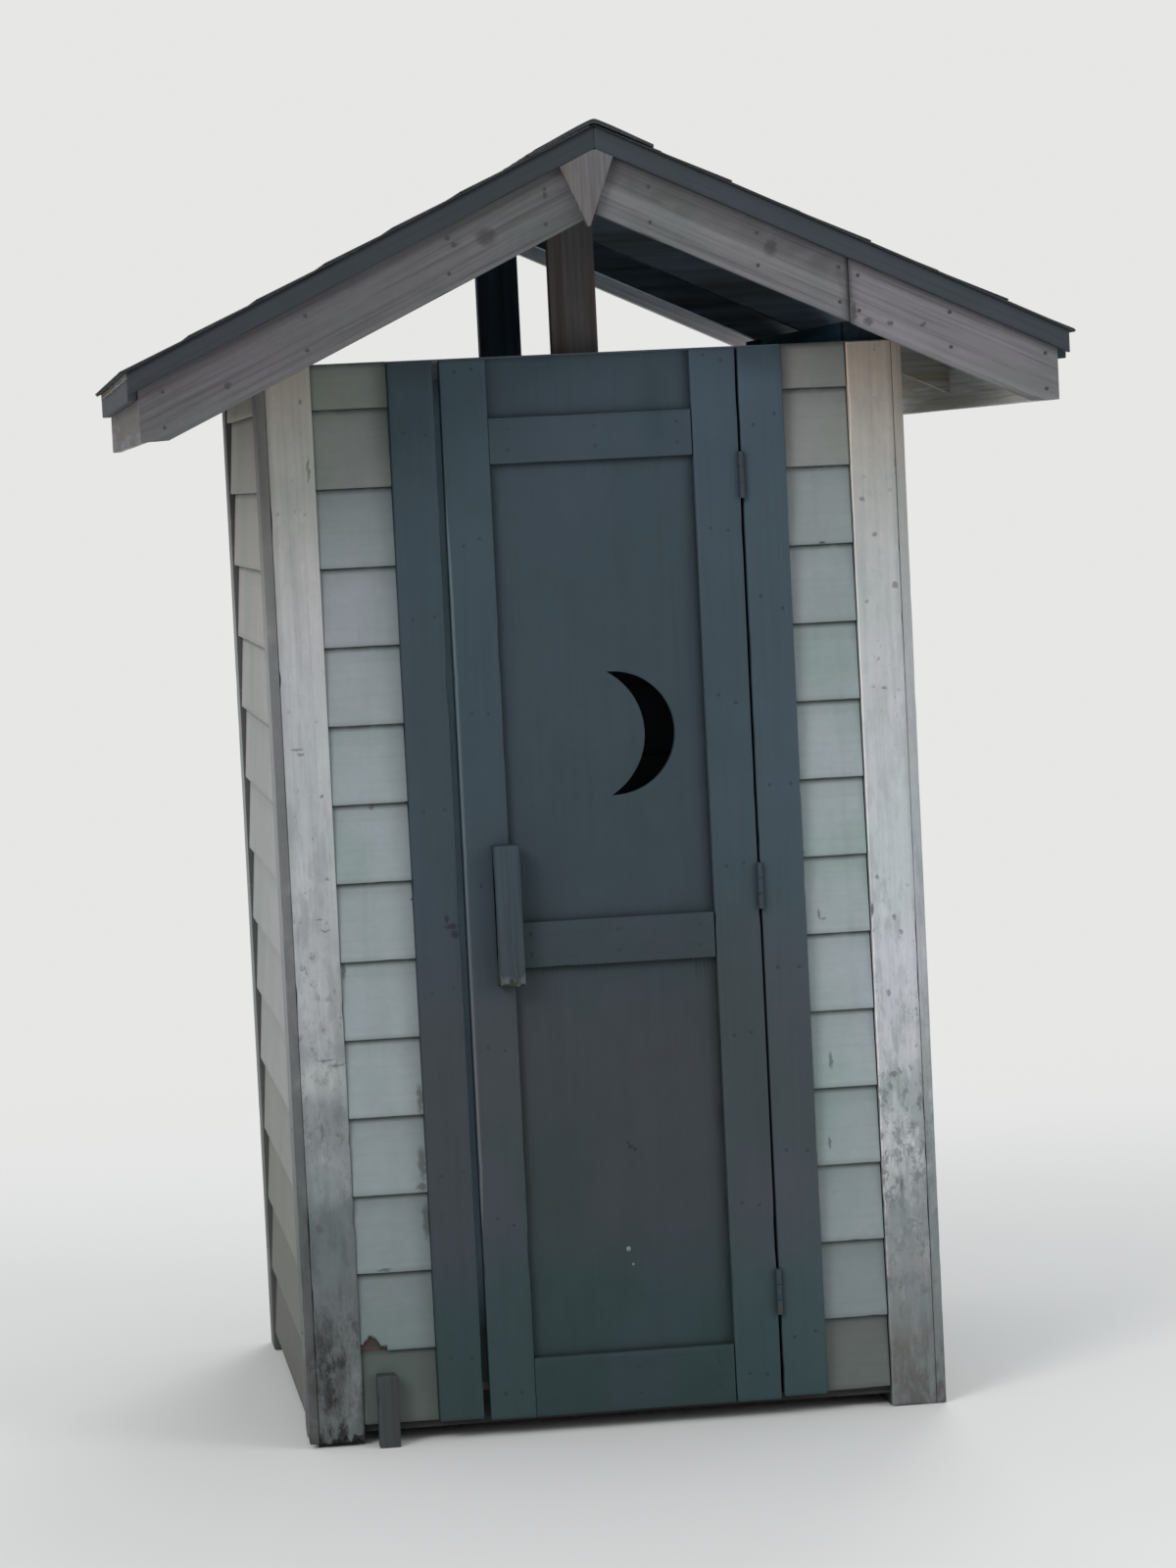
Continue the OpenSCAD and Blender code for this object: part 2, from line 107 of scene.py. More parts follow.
class OuthouseSettings(bpy.types.PropertyGroup):
    """Sizes, colours and wear that a user may change before the pieces are made."""

    course: bpy.props.FloatProperty(
        name="Lap", description="Height of one lap that shows", default=0.1524, unit="LENGTH")
    first_course: bpy.props.FloatProperty(
        name="Lowest lap", description="Height of the lowest lap", default=0.143, unit="LENGTH")
    siding_foot: bpy.props.FloatProperty(
        name="Siding foot", description="Height of the siding's lower edge", default=0.040, unit="LENGTH")
    exposure: bpy.props.FloatProperty(
        name="Exposure", description="Part of a shingle course that shows", default=0.142, unit="LENGTH")
    tab: bpy.props.FloatProperty(
        name="Shingle tab", description="Width of one shingle tab", default=0.294, unit="LENGTH")
    nail: bpy.props.FloatProperty(
        name="Nail head", description="Radius of a nail head", default=0.0036, unit="LENGTH")
    siding_colour: bpy.props.FloatVectorProperty(
        name="Siding", description="Paint of the laps", default=(0.272, 0.314, 0.324), subtype="COLOR")
    corner_colour: bpy.props.FloatVectorProperty(
        name="Corner boards", description="Corner paint", default=(0.486, 0.526, 0.550), subtype="COLOR")
    slate_colour: bpy.props.FloatVectorProperty(
        name="Door and casings", description="Slate paint", default=(0.032, 0.050, 0.062), subtype="COLOR")
    barge_colour: bpy.props.FloatVectorProperty(
        name="Barge boards", description="Gable boards", default=(0.142, 0.139, 0.147), subtype="COLOR")
    trim_colour: bpy.props.FloatVectorProperty(
        name="Roof trim", description="Roof edge paint", default=(0.034, 0.042, 0.050), subtype="COLOR")
    shingle_colour: bpy.props.FloatVectorProperty(
        name="Shingles", description="Mineral face", default=(0.034, 0.037, 0.040), subtype="COLOR")
    timber_colour: bpy.props.FloatVectorProperty(
        name="Framing", description="Bare framing timber", default=(0.105, 0.092, 0.080), subtype="COLOR")
    backdrop_colour: bpy.props.FloatVectorProperty(
        name="Backdrop", description="Floor and background", default=(0.80, 0.80, 0.79), subtype="COLOR")
    wear: bpy.props.FloatProperty(
        name="Wear", description="How far paint has peeled", default=1.0, min=0.0, max=2.0, subtype="FACTOR")
    lens: bpy.props.FloatProperty(
        name="Lens", description="Focal length that frames the building", default=108.0, unit="CAMERA")


# Shapes: every part is a closed grid of points, carried along a board or over a slope

def ripple(rng, x, wave, terms=4):
    """Smooth unevenness between -1 and 1: the mean of sines of x whose lengths lie about wave."""
    turns = 2 * np.pi / (wave * rng.uniform(0.6, 1.8, terms))
    return np.sin(np.multiply.outer(x, turns) + rng.uniform(0, 2 * np.pi, terms)).mean(-1)


def nicks(rng, x, cell, share=0.25):
    """Sparse dents between 0 and 1: a random line through knots a cell apart, whose top share is kept."""
    knots = np.arange(x.min() - cell, x.max() + 2 * cell, cell)
    line = np.interp(x, knots, rng.random(knots.size))
    return np.clip((line - 1 + share) / share, 0, 1)


def smooth(x, start, end):
    """Goes from 0 at start to 1 at end along 3x^2 - 2x^3."""
    t = np.clip((x - start) / (end - start), 0, 1)
    return t * t * (3 - 2 * t)


def spread(origin, *steps):
    """Points at an origin plus the sum of each distance times its direction."""
    return origin + sum(np.asarray(distance)[..., None] * way for distance, way in steps)


def section(width, thick, ease, lines):
    """A rectangle with rounded corners, walked round once from the corner at zero.

    Each corner is three points of a quarter circle, and lines sets how many points more a long side has.
    Gives the distance across, the distance out, and how near a point is to an arris.
    """
    reach = min(0.012, width / 4)
    inner = np.unique(np.concatenate([[reach, width - reach], np.linspace(reach, width - reach, lines)]))
    near_arris = 0.35 * (np.abs(inner - width / 2) > width / 2 - reach - 1e-6)

    def corner(across, out, turn):
        angle = np.radians([turn, turn + 45, turn + 90])
        return across + ease * np.cos(angle), out + ease * np.sin(angle), np.ones(3)

    walk = [
        corner(ease, ease, 180), (inner, np.zeros(inner.size), near_arris),
        corner(width - ease, ease, 270), ([width], [thick / 2], [0.6]),
        corner(width - ease, thick - ease, 0), (inner[::-1], np.full(inner.size, thick), near_arris[::-1]),
        corner(ease, thick - ease, 90), ([0.0], [thick / 2], [0.6]),
    ]
    return [np.concatenate(stretches) for stretches in zip(*walk)]


def closed_part(points, quads, ends, place, edge, grime, tone):
    """A closed part that faces outwards, from its points, its faces, its pattern's place, its wear and its
    painted shade.

    The faces are turned round if the signed volume, the sum of a.(b x c)/6, is negative.
    """
    part = {"verts": points.reshape(-1, 3), "place": place.reshape(-1, 2)}
    for key, value in (("edge", edge), ("grime", grime), ("tone", tone)):
        part[key] = np.broadcast_to(value, points.shape[:-1]).ravel()
    from_middle = part["verts"] - part["verts"].mean(0)
    a, b, c, d = (from_middle[quads[:, k]] for k in range(4))
    volume = (a * np.cross(b, c)).sum() + (a * np.cross(c, d)).sum()
    for face in ends:
        q = from_middle[face]
        volume += (q[0] * np.cross(q[1:-1], q[2:])).sum()
    way = 1 if volume >= 0 else -1
    return {**part, "quads": quads[:, ::way], "ends": [face[::way] for face in ends]}


def ring_quads(rows, columns):
    """Quads between rings of points: each ring closes on itself."""
    index = np.arange(rows * columns).reshape(rows, columns)
    after = np.roll(index, -1, 1)
    return np.stack([index[:-1], after[:-1], after[1:], index[1:]], -1).reshape(-1, 4)


def tube(points, along, across, edge, grime, tone, offset=(0.0, 0.0)):
    """A closed part from rings of points with a face over each end, and places along and across its grain."""
    rows, columns = points.shape[:2]
    first = np.arange(columns)
    ends = [first[::-1], first + (rows - 1) * columns]
    place = np.stack(np.broadcast_arrays(along + offset[0], across + offset[1]), -1)
    return closed_part(points, ring_quads(rows, columns), ends, place, edge, grime, tone)


def slab(upper, lower, place, edge, grime, tone):
    """A closed part from two grids of points over each other, joined by quads all round their border."""
    count = upper.shape[0] * upper.shape[1]
    index = np.arange(count).reshape(upper.shape[:2])
    face = np.stack([index[:-1, :-1], index[1:, :-1], index[1:, 1:], index[:-1, 1:]], -1).reshape(-1, 4)
    border = np.concatenate([index[:-1, 0], index[-1, :-1], index[:0:-1, -1], index[0, :0:-1]])
    ahead = np.roll(border, -1)
    rim = np.stack([ahead, border, border + count, ahead + count], -1)
    quads = np.concatenate([face, face[:, ::-1] + count, rim])
    return closed_part(np.stack([upper, lower]), quads, [], np.stack([place, place]), edge, grime, tone)


def board(rng, origin, along, across, out, size, ease=0.0016, step=0.025, lines=4, bow=0.0004, chip=0.0015,
          taper=None, foot=None, dent=None, grime=None, wear=None, reshape=None, tone=None, extra=()):
    """One board: its rounded section carried along its length.

    The section is drawn in a little at both ends, so that they are eased too. Along the length it wanders by
    a few sines, and its arrises lose nicks. taper(across) scales the thickness, foot(across, out) shortens
    the low end, dent(along, across) presses the face in, grime(along, across) gives the dirt and the painted
    shade, wear(along, across) adds to the wear of the arrises, which also paints a pale highlight on them,
    and reshape(points) moves what comes out. origin is the corner where along, across and out start, which
    needn't be square to each other. extra gives more places along.
    """
    length, width, thick = size
    w, t, arris = section(width, thick, ease, lines)
    near_end = np.array([0.0, ease, 0.008, 0.02])
    even = np.linspace(0.03, length - 0.03, max(2, math.ceil(length / step)))
    s = np.unique(np.round(np.concatenate([near_end, length - near_end, even, extra]), 6))
    s = s[(s >= 0) & (s <= length)]
    S, W = np.meshgrid(s, w, indexing="ij")
    T = np.broadcast_to(t, S.shape)
    end = (S <= 0) | (S >= length)
    drawn_in = 0.7 * ease
    W = np.where(end, np.clip(W, drawn_in, width - drawn_in), W)
    T = np.where(end, np.clip(T, drawn_in, thick - drawn_in), T)
    edge = np.maximum(arris, np.clip(1 - np.minimum(S, length - S) / 0.012, 0, 1))
    if wear is not None:
        edge = edge + wear(S, W)
    if chip:
        lost = np.stack([nicks(rng, s + 10 * k, 0.05) for k in range(4)], 1)
        corner = (W > width / 2) * 1 + (T > thick / 2) * 2
        depth = chip * np.take_along_axis(lost, corner, 1) * (arris > 0.9)
        W = W + depth * np.sign(width / 2 - W)
        T = T + 0.6 * depth * np.sign(thick / 2 - T)
    if taper is not None:
        T = T * taper(W)
    if dent is not None:
        T = T * (1 - dent(S, W))
    if foot is not None:
        lift = foot(W, T)
        S = S + lift * np.clip(1 - S / (0.12 + lift), 0, 1)
    drift = bow * ripple(rng, s, 1.1)[:, None] if bow else 0.0
    swell = bow * (ripple(rng, s, 0.7)[:, None] - 1) * (T > thick / 3) if bow else 0.0
    points = spread(origin, (S, along), (W + drift, across), (T + swell, out))
    if reshape is not None:
        points = reshape(points)
    dirt_and_shade = grime(S, W) if grime is not None else 0.0
    own_tone = rng.random() if tone is None else tone
    return tube(points, S, W + 1.7 * T, edge, dirt_and_shade, own_tone, rng.uniform(0, 9, 2))


def filled(rng, node, along, across, out, **more):
    """A board that fills a solid's box, from the box's corner where its three directions start."""
    lo, hi = low(node), high(node)
    size = [abs((hi - lo) @ way) for way in (along, across, out)]
    return board(rng, np.where(along + across + out > 0, lo, hi), along, across, out, size, **more)


def piece(name, body, finish, parts, replaces=()):
    """One object from closed parts, with its grain's place as a UV map and its wear and painted shade as
    attributes.
    """
    starts = np.cumsum([0] + [len(part["verts"]) for part in parts])
    verts = np.concatenate([part["verts"] for part in parts])
    faces = np.concatenate([part["quads"] + start for part, start in zip(parts, starts)]).tolist()
    for part, start in zip(parts, starts):
        faces += [(face + start).tolist() for face in part["ends"]]
    mesh = bpy.data.meshes.new(name)
    mesh.from_pydata(verts, [], faces)
    corner = np.zeros(len(mesh.loops), np.int32)
    mesh.loops.foreach_get("vertex_index", corner)
    place = np.concatenate([part["place"] for part in parts]).astype(np.float32)
    mesh.uv_layers.new(name="grain").data.foreach_set("uv", place[corner].ravel())
    for key in ("edge", "grime", "tone"):
        values = np.concatenate([part[key] for part in parts]).astype(np.float32)
        mesh.attributes.new(key, "FLOAT", "POINT").data.foreach_set("value", values)
    mesh.materials.append(finish)
    mesh.shade_smooth()
    mesh.set_sharp_from_angle(angle=EDGE_ANGLE)
    mesh.update()
    made = in_scene(name, mesh)
    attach(made, body)
    if replaces:
        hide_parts(*replaces)


def in_scene(name, data):
    """A new object in the scene, with its mesh, lamp or camera."""
    made = bpy.data.objects.new(name, data)
    bpy.context.scene.collection.objects.link(made)
    return made


# Finishes: node materials that read the grain's place, the attributes of wear, dirt and painted shade,
# and Object coordinates

class Nodes:
    """Fills a node tree. An input may be a number, a tuple or another node's socket."""

    def __init__(self, tree):
        self.tree = tree
        tree.nodes.clear()

    def add(self, kind, inputs=None, **settings):
        node = self.tree.nodes.new(kind)
        for key, value in settings.items():
            setattr(node, key, value)
        for key, value in (inputs or {}).items():
            self.give(node.inputs[key], value)
        return node

    def give(self, socket, value):
        if isinstance(value, bpy.types.NodeSocket):
            self.tree.links.new(value, socket)
        else:
            socket.default_value = value

    def calc(self, operation, a, b=0.0):
        return self.add("ShaderNodeMath", {0: a, 1: b}, operation=operation).outputs[0]

    def times(self, a, b):
        return self.calc("MULTIPLY", a, b)

    def plus(self, a, b):
        return self.calc("ADD", a, b)

    def less(self, a, b):
        return self.calc("SUBTRACT", a, b)


class Finish(Nodes):
    """Builds one node material round a principled shader."""

    def __init__(self, name):
        self.material = bpy.data.materials.new(name)
        self.material.use_nodes = True
        super().__init__(self.material.node_tree)
        self.shader = self.add("ShaderNodeBsdfPrincipled")
        self.output = self.add("ShaderNodeOutputMaterial", {0: self.shader.outputs[0]})
        self.place = self.add("ShaderNodeTexCoord").outputs["Object"]
        self.grain = self.add("ShaderNodeUVMap", uv_map="grain").outputs[0]

    def stretch(self, vector, scale, shift=(0, 0, 0)):
        return self.add("ShaderNodeMapping", {"Vector": vector, "Scale": scale, "Location": shift}).outputs[0]

    def noise(self, vector, scale=1.0, detail=4.0, rough=0.55, twist=0.0):
        inputs = {"Vector": vector, "Scale": scale, "Detail": detail, "Roughness": rough, "Distortion": twist}
        return self.add("ShaderNodeTexNoise", inputs).outputs[0]

    def attribute(self, name):
        return self.add("ShaderNodeAttribute", attribute_name=name).outputs["Fac"]

    def vector(self, operation, *values, output=0):
        return self.add("ShaderNodeVectorMath", dict(enumerate(values)), operation=operation).outputs[output]

    def axis(self, number):
        return self.add("ShaderNodeSeparateXYZ", {0: self.place}).outputs[number]

    def between(self, value, start, end, low_to=0.0, high_to=1.0):
        """Smooth step of value from start to end."""
        return self.add("ShaderNodeMapRange", {
            "Value": value, "From Min": start, "From Max": end, "To Min": low_to, "To Max": high_to},
            interpolation_type="SMOOTHSTEP").outputs[0]

    def patches(self, scale, start, end, shift=(0, 0, 0), **noise):
        """Patches of the place, stretched by scale: a smooth step of noise from start to end."""
        return self.between(self.noise(self.stretch(self.place, scale, shift), **noise), start, end)

    def blend(self, amount, a, b, kind="MIX"):
        """Goes from colour a to colour b with amount, or multiplies a by b."""
        node = self.add("ShaderNodeMix", data_type="RGBA", blend_type=kind, clamp_factor=True)
        for number, value in ((0, amount), (6, a), (7, b)):
            plain = isinstance(value, (bpy.types.NodeSocket, float))
            self.give(node.inputs[number], value if plain else (*value[:3], 1.0))
        return node.outputs[2]

    def tint(self, amount, colour, factors):
        """Blends a colour towards itself times some factors."""
        return self.blend(amount, colour, self.blend(1.0, colour, factors, "MULTIPLY"))

    def dim(self, colour, factor):
        """Colour times a grey factor."""
        grey = self.add("ShaderNodeCombineColor", {0: factor, 1: factor, 2: factor}).outputs[0]
        return self.blend(1.0, colour, grey, "MULTIPLY")

    def bump(self, height, strength, distance, **under):
        """The normal of a surface that stands out by height times distance, over the one under it."""
        return self.add("ShaderNodeBump", {
            "Height": height, "Strength": strength, "Distance": distance, **under}).outputs[0]

    def finish(self, **sockets):
        """Gives the shader's sockets, whose names have underscores for spaces, their values."""
        for key, value in sockets.items():
            self.give(self.shader.inputs[key.replace("_", " ")], value)
        return self.material


def shade(colour, factor, tint=(1.0, 1.0, 1.0)):
    """A colour made lighter or darker, with a tint."""
    return tuple(c * factor * t for c, t in zip(colour, tint))


def marks(f, spots):
    """Marks at given places: 1 at a mark's heart and 0 past its reach, with an outline that noise frays.

    Each spot is its place, its half length along X and its half height. The noise lies about 0.5, so each
    place is shifted by half of the fray.
    """
    fray, deep = 0.012, 20.0
    noise = f.add("ShaderNodeTexNoise", {"Vector": f.place, "Scale": 90.0}).outputs[1]
    frayed = f.vector("MULTIPLY_ADD", noise, (fray, 0.0, fray), f.place)
    mask = None
    for x, y, z, wide, tall in spots:
        away = f.vector("SUBTRACT", frayed, (x + fray / 2, y, z + fray / 2))
        away = f.vector("MULTIPLY", away, (1 / wide, deep, 1 / tall))
        spot = f.between(f.vector("LENGTH", away, output=1), 1.15, 0.45)
        mask = spot if mask is None else f.calc("MAXIMUM", mask, spot)
    return mask


def banded(f, colour, bands, where):
    """The colour times the factors that bands gives at some heights, in straight lines between them."""
    ramp = f.add("ShaderNodeValToRGB", {0: f.calc("DIVIDE", where, BAND_SPAN)})
    stops = ramp.color_ramp.elements
    for number, (height, *factors) in enumerate(bands):
        stop = stops[number] if number < 2 else stops.new(1.0)
        stop.position = height / BAND_SPAN
        stop.color = (*shade(colour, 1.0, factors), 1.0)
    return ramp.outputs[0]


def paint(name, colour, bands, bare, by_board=False, drift=0.12, peel=0.0, foot_peel=0.0, streaks=0.25,
          flecks=0.0, fleck_top=0.9, edge=0.5, grain=0.25, rings=0.0, gloss=0.55, specular=0.35, spots=(),
          pale_spots=(), zone=None):
    """Old paint on wood.

    Its colour follows bands of height, which noise shifts about, or the board's own tone where by_board is
    set, and drifts between mauve and green in soft patches. Paint is lost where noise stretched along the
    grain, plus the arris and the nearness of the ground, passes a threshold: there the bare wood's grain
    shows, and the surface drops by the thickness of the paint. Where an arris's wear passes a limit, it turns
    pale: worn paint with a painted highlight. The zone gives two smooth steps along the axes, and the
    factors where both are 1, which paint light on a face that lies in shade. Flecks that thicken towards
    the ground, marks, rain streaks, and the dirt and painted shade under butts, in corners and along edges
    come last.
    """
    f = Finish(name)
    height = f.axis(2)
    fibre = f.noise(f.stretch(f.grain, (3.0, 110.0, 1.0)), detail=5.0, rough=0.6)
    ring = f.noise(f.stretch(f.grain, (1.3, 30.0, 1.0)), twist=0.7)
    soft = f.noise(f.stretch(f.place, (3.1, 3.1, 2.3)))
    other = f.noise(f.stretch(f.place, (4.3, 4.3, 3.1), shift=(7.0, 3.0, 1.0)), detail=3.0)
    fine = f.noise(f.place, scale=75.0, detail=3.0)
    blotch = f.noise(f.place, scale=19.0, rough=0.6)
    tone, arris = f.attribute("tone"), f.attribute("edge")
    shifted = f.plus(height, f.times(f.less(soft, 0.5), 0.30))
    now = banded(f, colour, bands, tone if by_board else shifted)
    now = f.tint(f.between(soft, 0.40, 0.60, 0.0, drift), now, (1.9, 1.42, 1.70))
    now = f.tint(f.between(other, 0.48, 0.66, 0.0, drift), now, (0.2, 0.75, 0.3))
    level = f.plus(f.times(blotch, 0.16), f.times(fine, 0.14))
    if not by_board:
        level = f.plus(level, f.times(f.less(tone, 0.5), 0.40))
    now = f.dim(now, f.plus(level, 0.85))
    now = f.dim(now, f.between(fibre, 0.30, 0.56, 1.0 - 0.35 * grain, 1.0 + 0.08 * grain))
    if rings:
        now = f.dim(now, f.between(ring, 0.34, 0.66, 1.0 - 0.45 * rings, 1.0 + 0.22 * rings))
    flake = f.noise(f.stretch(f.grain, (13.0, 46.0, 1.0)), detail=6.0, rough=0.66)
    worn = f.plus(flake, f.times(arris, 0.16 * edge))
    worn = f.plus(worn, f.times(f.between(height, 0.50, 0.02), foot_peel))
    lost = f.between(worn, 0.74 - peel, 0.78 - peel)
    wood = f.blend(f.between(ring, 0.38, 0.60), bare, shade(bare, 0.62))
    wood = f.dim(wood, f.between(fibre, 0.28, 0.60, 0.60, 1.1))
    # A pale line where an arris's wear passes 1.3: worn paint with a painted highlight
    now = f.tint(f.between(arris, 1.3, 1.8, 0.0, 0.75), now, (2.6, 2.3, 2.1))
    now = f.blend(lost, now, wood)
    # Painted light on a face that lies in shade, where both steps of the zone are 1
    if zone:
        (first, *a), (second, *b), factors = zone
        now = f.tint(f.times(f.between(f.axis(first), *a), f.between(f.axis(second), *b)), now, factors)
    if flecks:
        now = flecked(f, now, colour, height, flecks, fleck_top)
    if pale_spots:
        now = f.tint(f.times(marks(f, pale_spots), 0.55), now, (1.75, 1.68, 1.62))
    if spots:
        now = f.blend(f.times(marks(f, spots), 0.60), now, shade(colour, 0.16, (1.05, 1.0, 1.0)))
    streak = f.patches((30.0, 30.0, 1.6), 0.50, 0.74, detail=3.0)
    now = f.blend(f.times(streak, streaks), now, shade(colour, 0.45))
    # Dirt and painted shade that the parts carry: painted shadows under butts and trims, shade in corners and
    # along edges
    corner = f.times(f.attribute("grime"), f.between(f.noise(f.place, scale=26.0), 0.20, 0.55, 0.65, 1.0))
    now = f.blend(f.times(corner, 0.85), now, shade(colour, 0.16, (1.0, 0.97, 0.92)))
    rough = f.plus(f.times(lost, 0.25), f.plus(f.times(fine, 0.14), gloss - 0.05))
    relief = f.less(f.times(fibre, grain), f.times(lost, 0.75))
    normal = f.bump(relief, 0.55, 0.0011)
    normal = f.bump(f.noise(f.place, scale=210.0, detail=2.0), 0.12, 0.0005, Normal=normal)
    return f.finish(Base_Color=now, Roughness=rough, Normal=normal, Specular_IOR_Level=specular)


def flecked(f, now, colour, height, flecks, top):
    """Splashed dirt that fades out towards top: specks whose threshold rises with height, a wash and clouds
    of noise, and paler rinsed patches."""
    speck = f.noise(f.stretch(f.place, (58.0, 58.0, 30.0)), detail=6.0, rough=0.8)
    dark = f.between(f.less(speck, f.between(height, top, 0.45, 0.62, 0.50)), -0.01, 0.08)
    now = f.blend(f.times(dark, flecks), now, shade(colour, 0.26, (0.95, 1.0, 0.98)))
    wash = f.patches((30.0, 30.0, 8.0), 0.46, 0.60, detail=6.0, rough=0.72)
    wash = f.times(wash, f.between(height, top + 0.6, 0.6, 0.30, 1.0))
    now = f.blend(f.times(wash, 0.62 * flecks), now, shade(colour, 0.40, (0.94, 1.0, 1.0)))
    cloud = f.patches((11.0, 11.0, 7.0), 0.46, 0.57, (1.0, 4.0, 2.0), detail=5.0, rough=0.65)
    cloud = f.times(cloud, f.between(height, top, 0.45))
    now = f.blend(f.times(cloud, 0.70 * flecks), now, shade(colour, 0.36, (0.92, 1.0, 0.98)))
    pale = f.patches((24.0, 24.0, 7.0), 0.54, 0.68, (3.0, 9.0, 5.0), detail=5.0, rough=0.7)
    pale = f.times(pale, f.between(height, top + 0.5, 0.6))
    return f.tint(f.times(pale, 0.8 * flecks), now, (1.45, 1.42, 1.40))


def timber(name, colour, grain_axis=None, depth=1.0, specular=0.25, tails=None):
    """Bare weathered wood: growth rings stretched along the grain, fibres, checks and grey patches.

    grain_axis is the grain's direction in Object coordinates for a solid of the part, which has no map of its
    own. Where the distance along one axis from the middle passes a limit, tails gives the wood another tint,
    which splits painted lit and shaded copies of one wood.
    """
    f = Finish(name)
    if grain_axis is None:
        rings, fibres = f.stretch(f.grain, (0.9, 19.0, 1.0)), f.stretch(f.grain, (3.2, 150.0, 1.0))
    else:
        rings = f.stretch(f.place, tuple(0.9 if k == grain_axis else 19.0 for k in range(3)))
        fibres = f.stretch(f.place, tuple(3.2 if k == grain_axis else 130.0 for k in range(3)))
    ring = f.noise(rings, detail=3.0, twist=0.8)
    fibre = f.noise(fibres, detail=5.0, rough=0.65)
    patch = f.between(f.noise(f.place, scale=4.2), 0.35, 0.68)
    base = f.blend(patch, colour, shade(colour, 0.78, (0.95, 1.0, 1.08)))
    base = f.blend(f.between(ring, 0.40, 0.60), base, shade(colour, 0.64, (1.05, 0.98, 0.9)))
    base = f.dim(base, f.between(fibre, 0.26, 0.62, 0.72, 1.12))
    check = f.between(f.noise(f.stretch(fibres, (0.35, 0.5, 0.5)), detail=2.0), 0.70, 0.74)
    base = f.blend(f.times(check, 0.6), base, shade(colour, 0.2))
    if tails:
        direction, limit, factors = tails
        away = f.calc("ABSOLUTE", f.axis(direction))
        base = f.tint(f.between(away, limit - 0.01, limit + 0.02), base, factors)
    relief = f.less(f.times(fibre, 0.6 * depth), f.times(check, 0.5))
    return f.finish(Base_Color=base, Roughness=f.between(fibre, 0.2, 0.8, 0.70, 0.92),
                    Normal=f.bump(relief, 0.6, 0.0012), Specular_IOR_Level=specular)


def mineral(name, colour):
    """Mineral-faced asphalt: fine cells of many greys, with painted shade towards a course's top, and some
    moss.
    """
    f = Finish(name)
    cells = f.add("ShaderNodeTexVoronoi", {"Vector": f.place, "Scale": 620.0})
    grey = f.add("ShaderNodeSeparateColor", {0: cells.outputs["Color"]}).outputs[0]
    patch = f.between(f.noise(f.place, scale=2.6, detail=5.0), 0.34, 0.66)
    base = f.blend(patch, colour, shade(colour, 0.72, (0.95, 1.0, 1.1)))
    base = f.dim(base, f.between(grey, 0.0, 1.0, 0.55, 1.55))
    base = f.dim(base, f.plus(f.times(f.attribute("tone"), 0.42), 0.78))
    # Painted shade under the next course, under the next ridge cap and on the felt between the tabs
    base = f.blend(f.times(f.attribute("grime"), 0.65), base, shade(colour, 0.3))
    moss = f.between(f.noise(f.place, scale=7.0, detail=6.0, rough=0.7), 0.60, 0.74)
    base = f.blend(f.times(moss, 0.35), base, (0.050, 0.056, 0.036))
    relief = f.less(grey, f.times(cells.outputs["Distance"], 0.5))
    return f.finish(Base_Color=base, Roughness=0.92, Normal=f.bump(relief, 0.5, 0.0012))


def metal(name, colour, rust_share):
    """Small ironwork: rust breaks through in patches, which stand a little proud and are rougher."""
    f = Finish(name)
    start = 0.60 - 0.2 * rust_share
    rust = f.between(f.noise(f.place, scale=58.0, detail=6.0, rough=0.7), start, start + 0.1)
    base = f.dim(colour, f.between(f.noise(f.place, scale=160.0, detail=3.0), 0.2, 0.8, 0.8, 1.2))
    base = f.blend(rust, base, (0.060, 0.036, 0.024))
    return f.finish(Base_Color=base, Roughness=f.between(rust, 0.0, 1.0, 0.50, 0.88),
                    Normal=f.bump(rust, 0.3, 0.0004), Specular_IOR_Level=0.3)


def on_face(y, *spots):
    """Marks on a face that looks along -Y, each from its x, z, half length and half height."""
    return [(x, y, z, wide, tall) for x, z, wide, tall in spots]


# How a colour changes with height: darker at the foot, with dirt and splash there, and towards the top,
# under the roof, painted shade that turns darker and browner
SIDING_BANDS = [
    (0.11, 0.34, 0.34, 0.31), (0.20, 0.55, 0.57, 0.56), (0.30, 0.66, 0.68, 0.68), (0.46, 0.80, 0.82, 0.82),
    (0.72, 1.0, 1.0, 1.0), (1.30, 1.0, 1.0, 1.0), (1.57, 0.92, 0.88, 0.90), (1.74, 0.86, 0.83, 0.86),
    (1.88, 0.81, 0.76, 0.71), (2.03, 0.78, 0.68, 0.61)]
LEFT_WALL_BANDS = [
    (0.11, 0.19, 0.19, 0.155), (0.20, 0.27, 0.27, 0.22), (0.30, 0.34, 0.335, 0.275),
    (0.46, 0.50, 0.50, 0.425), (0.72, 0.88, 0.88, 0.86), (1.05, 1.0, 1.0, 1.0), (1.57, 1.01, 0.94, 0.93),
    (1.88, 0.92, 0.85, 0.75), (2.03, 0.86, 0.75, 0.64)]
CORNER_BANDS = [
    (0.02, 0.18, 0.175, 0.155), (0.14, 0.22, 0.215, 0.19), (0.50, 0.70, 0.70, 0.67), (0.80, 0.88, 0.87, 0.87),
    (1.10, 0.93, 0.91, 0.925), (1.50, 0.87, 0.84, 0.82), (1.80, 0.76, 0.71, 0.645), (1.94, 0.81, 0.70, 0.59),
    (2.06, 0.77, 0.61, 0.47)]
LEFT_BANDS = [
    (0.02, 0.030, 0.032, 0.027), (0.14, 0.040, 0.044, 0.038), (0.30, 0.115, 0.134, 0.132),
    (0.50, 0.255, 0.297, 0.300), (0.75, 0.68, 0.72, 0.71), (1.08, 0.93, 0.92, 0.91),
    (1.50, 0.92, 0.925, 0.915), (1.90, 0.90, 0.85, 0.75), (2.06, 0.82, 0.72, 0.58)]
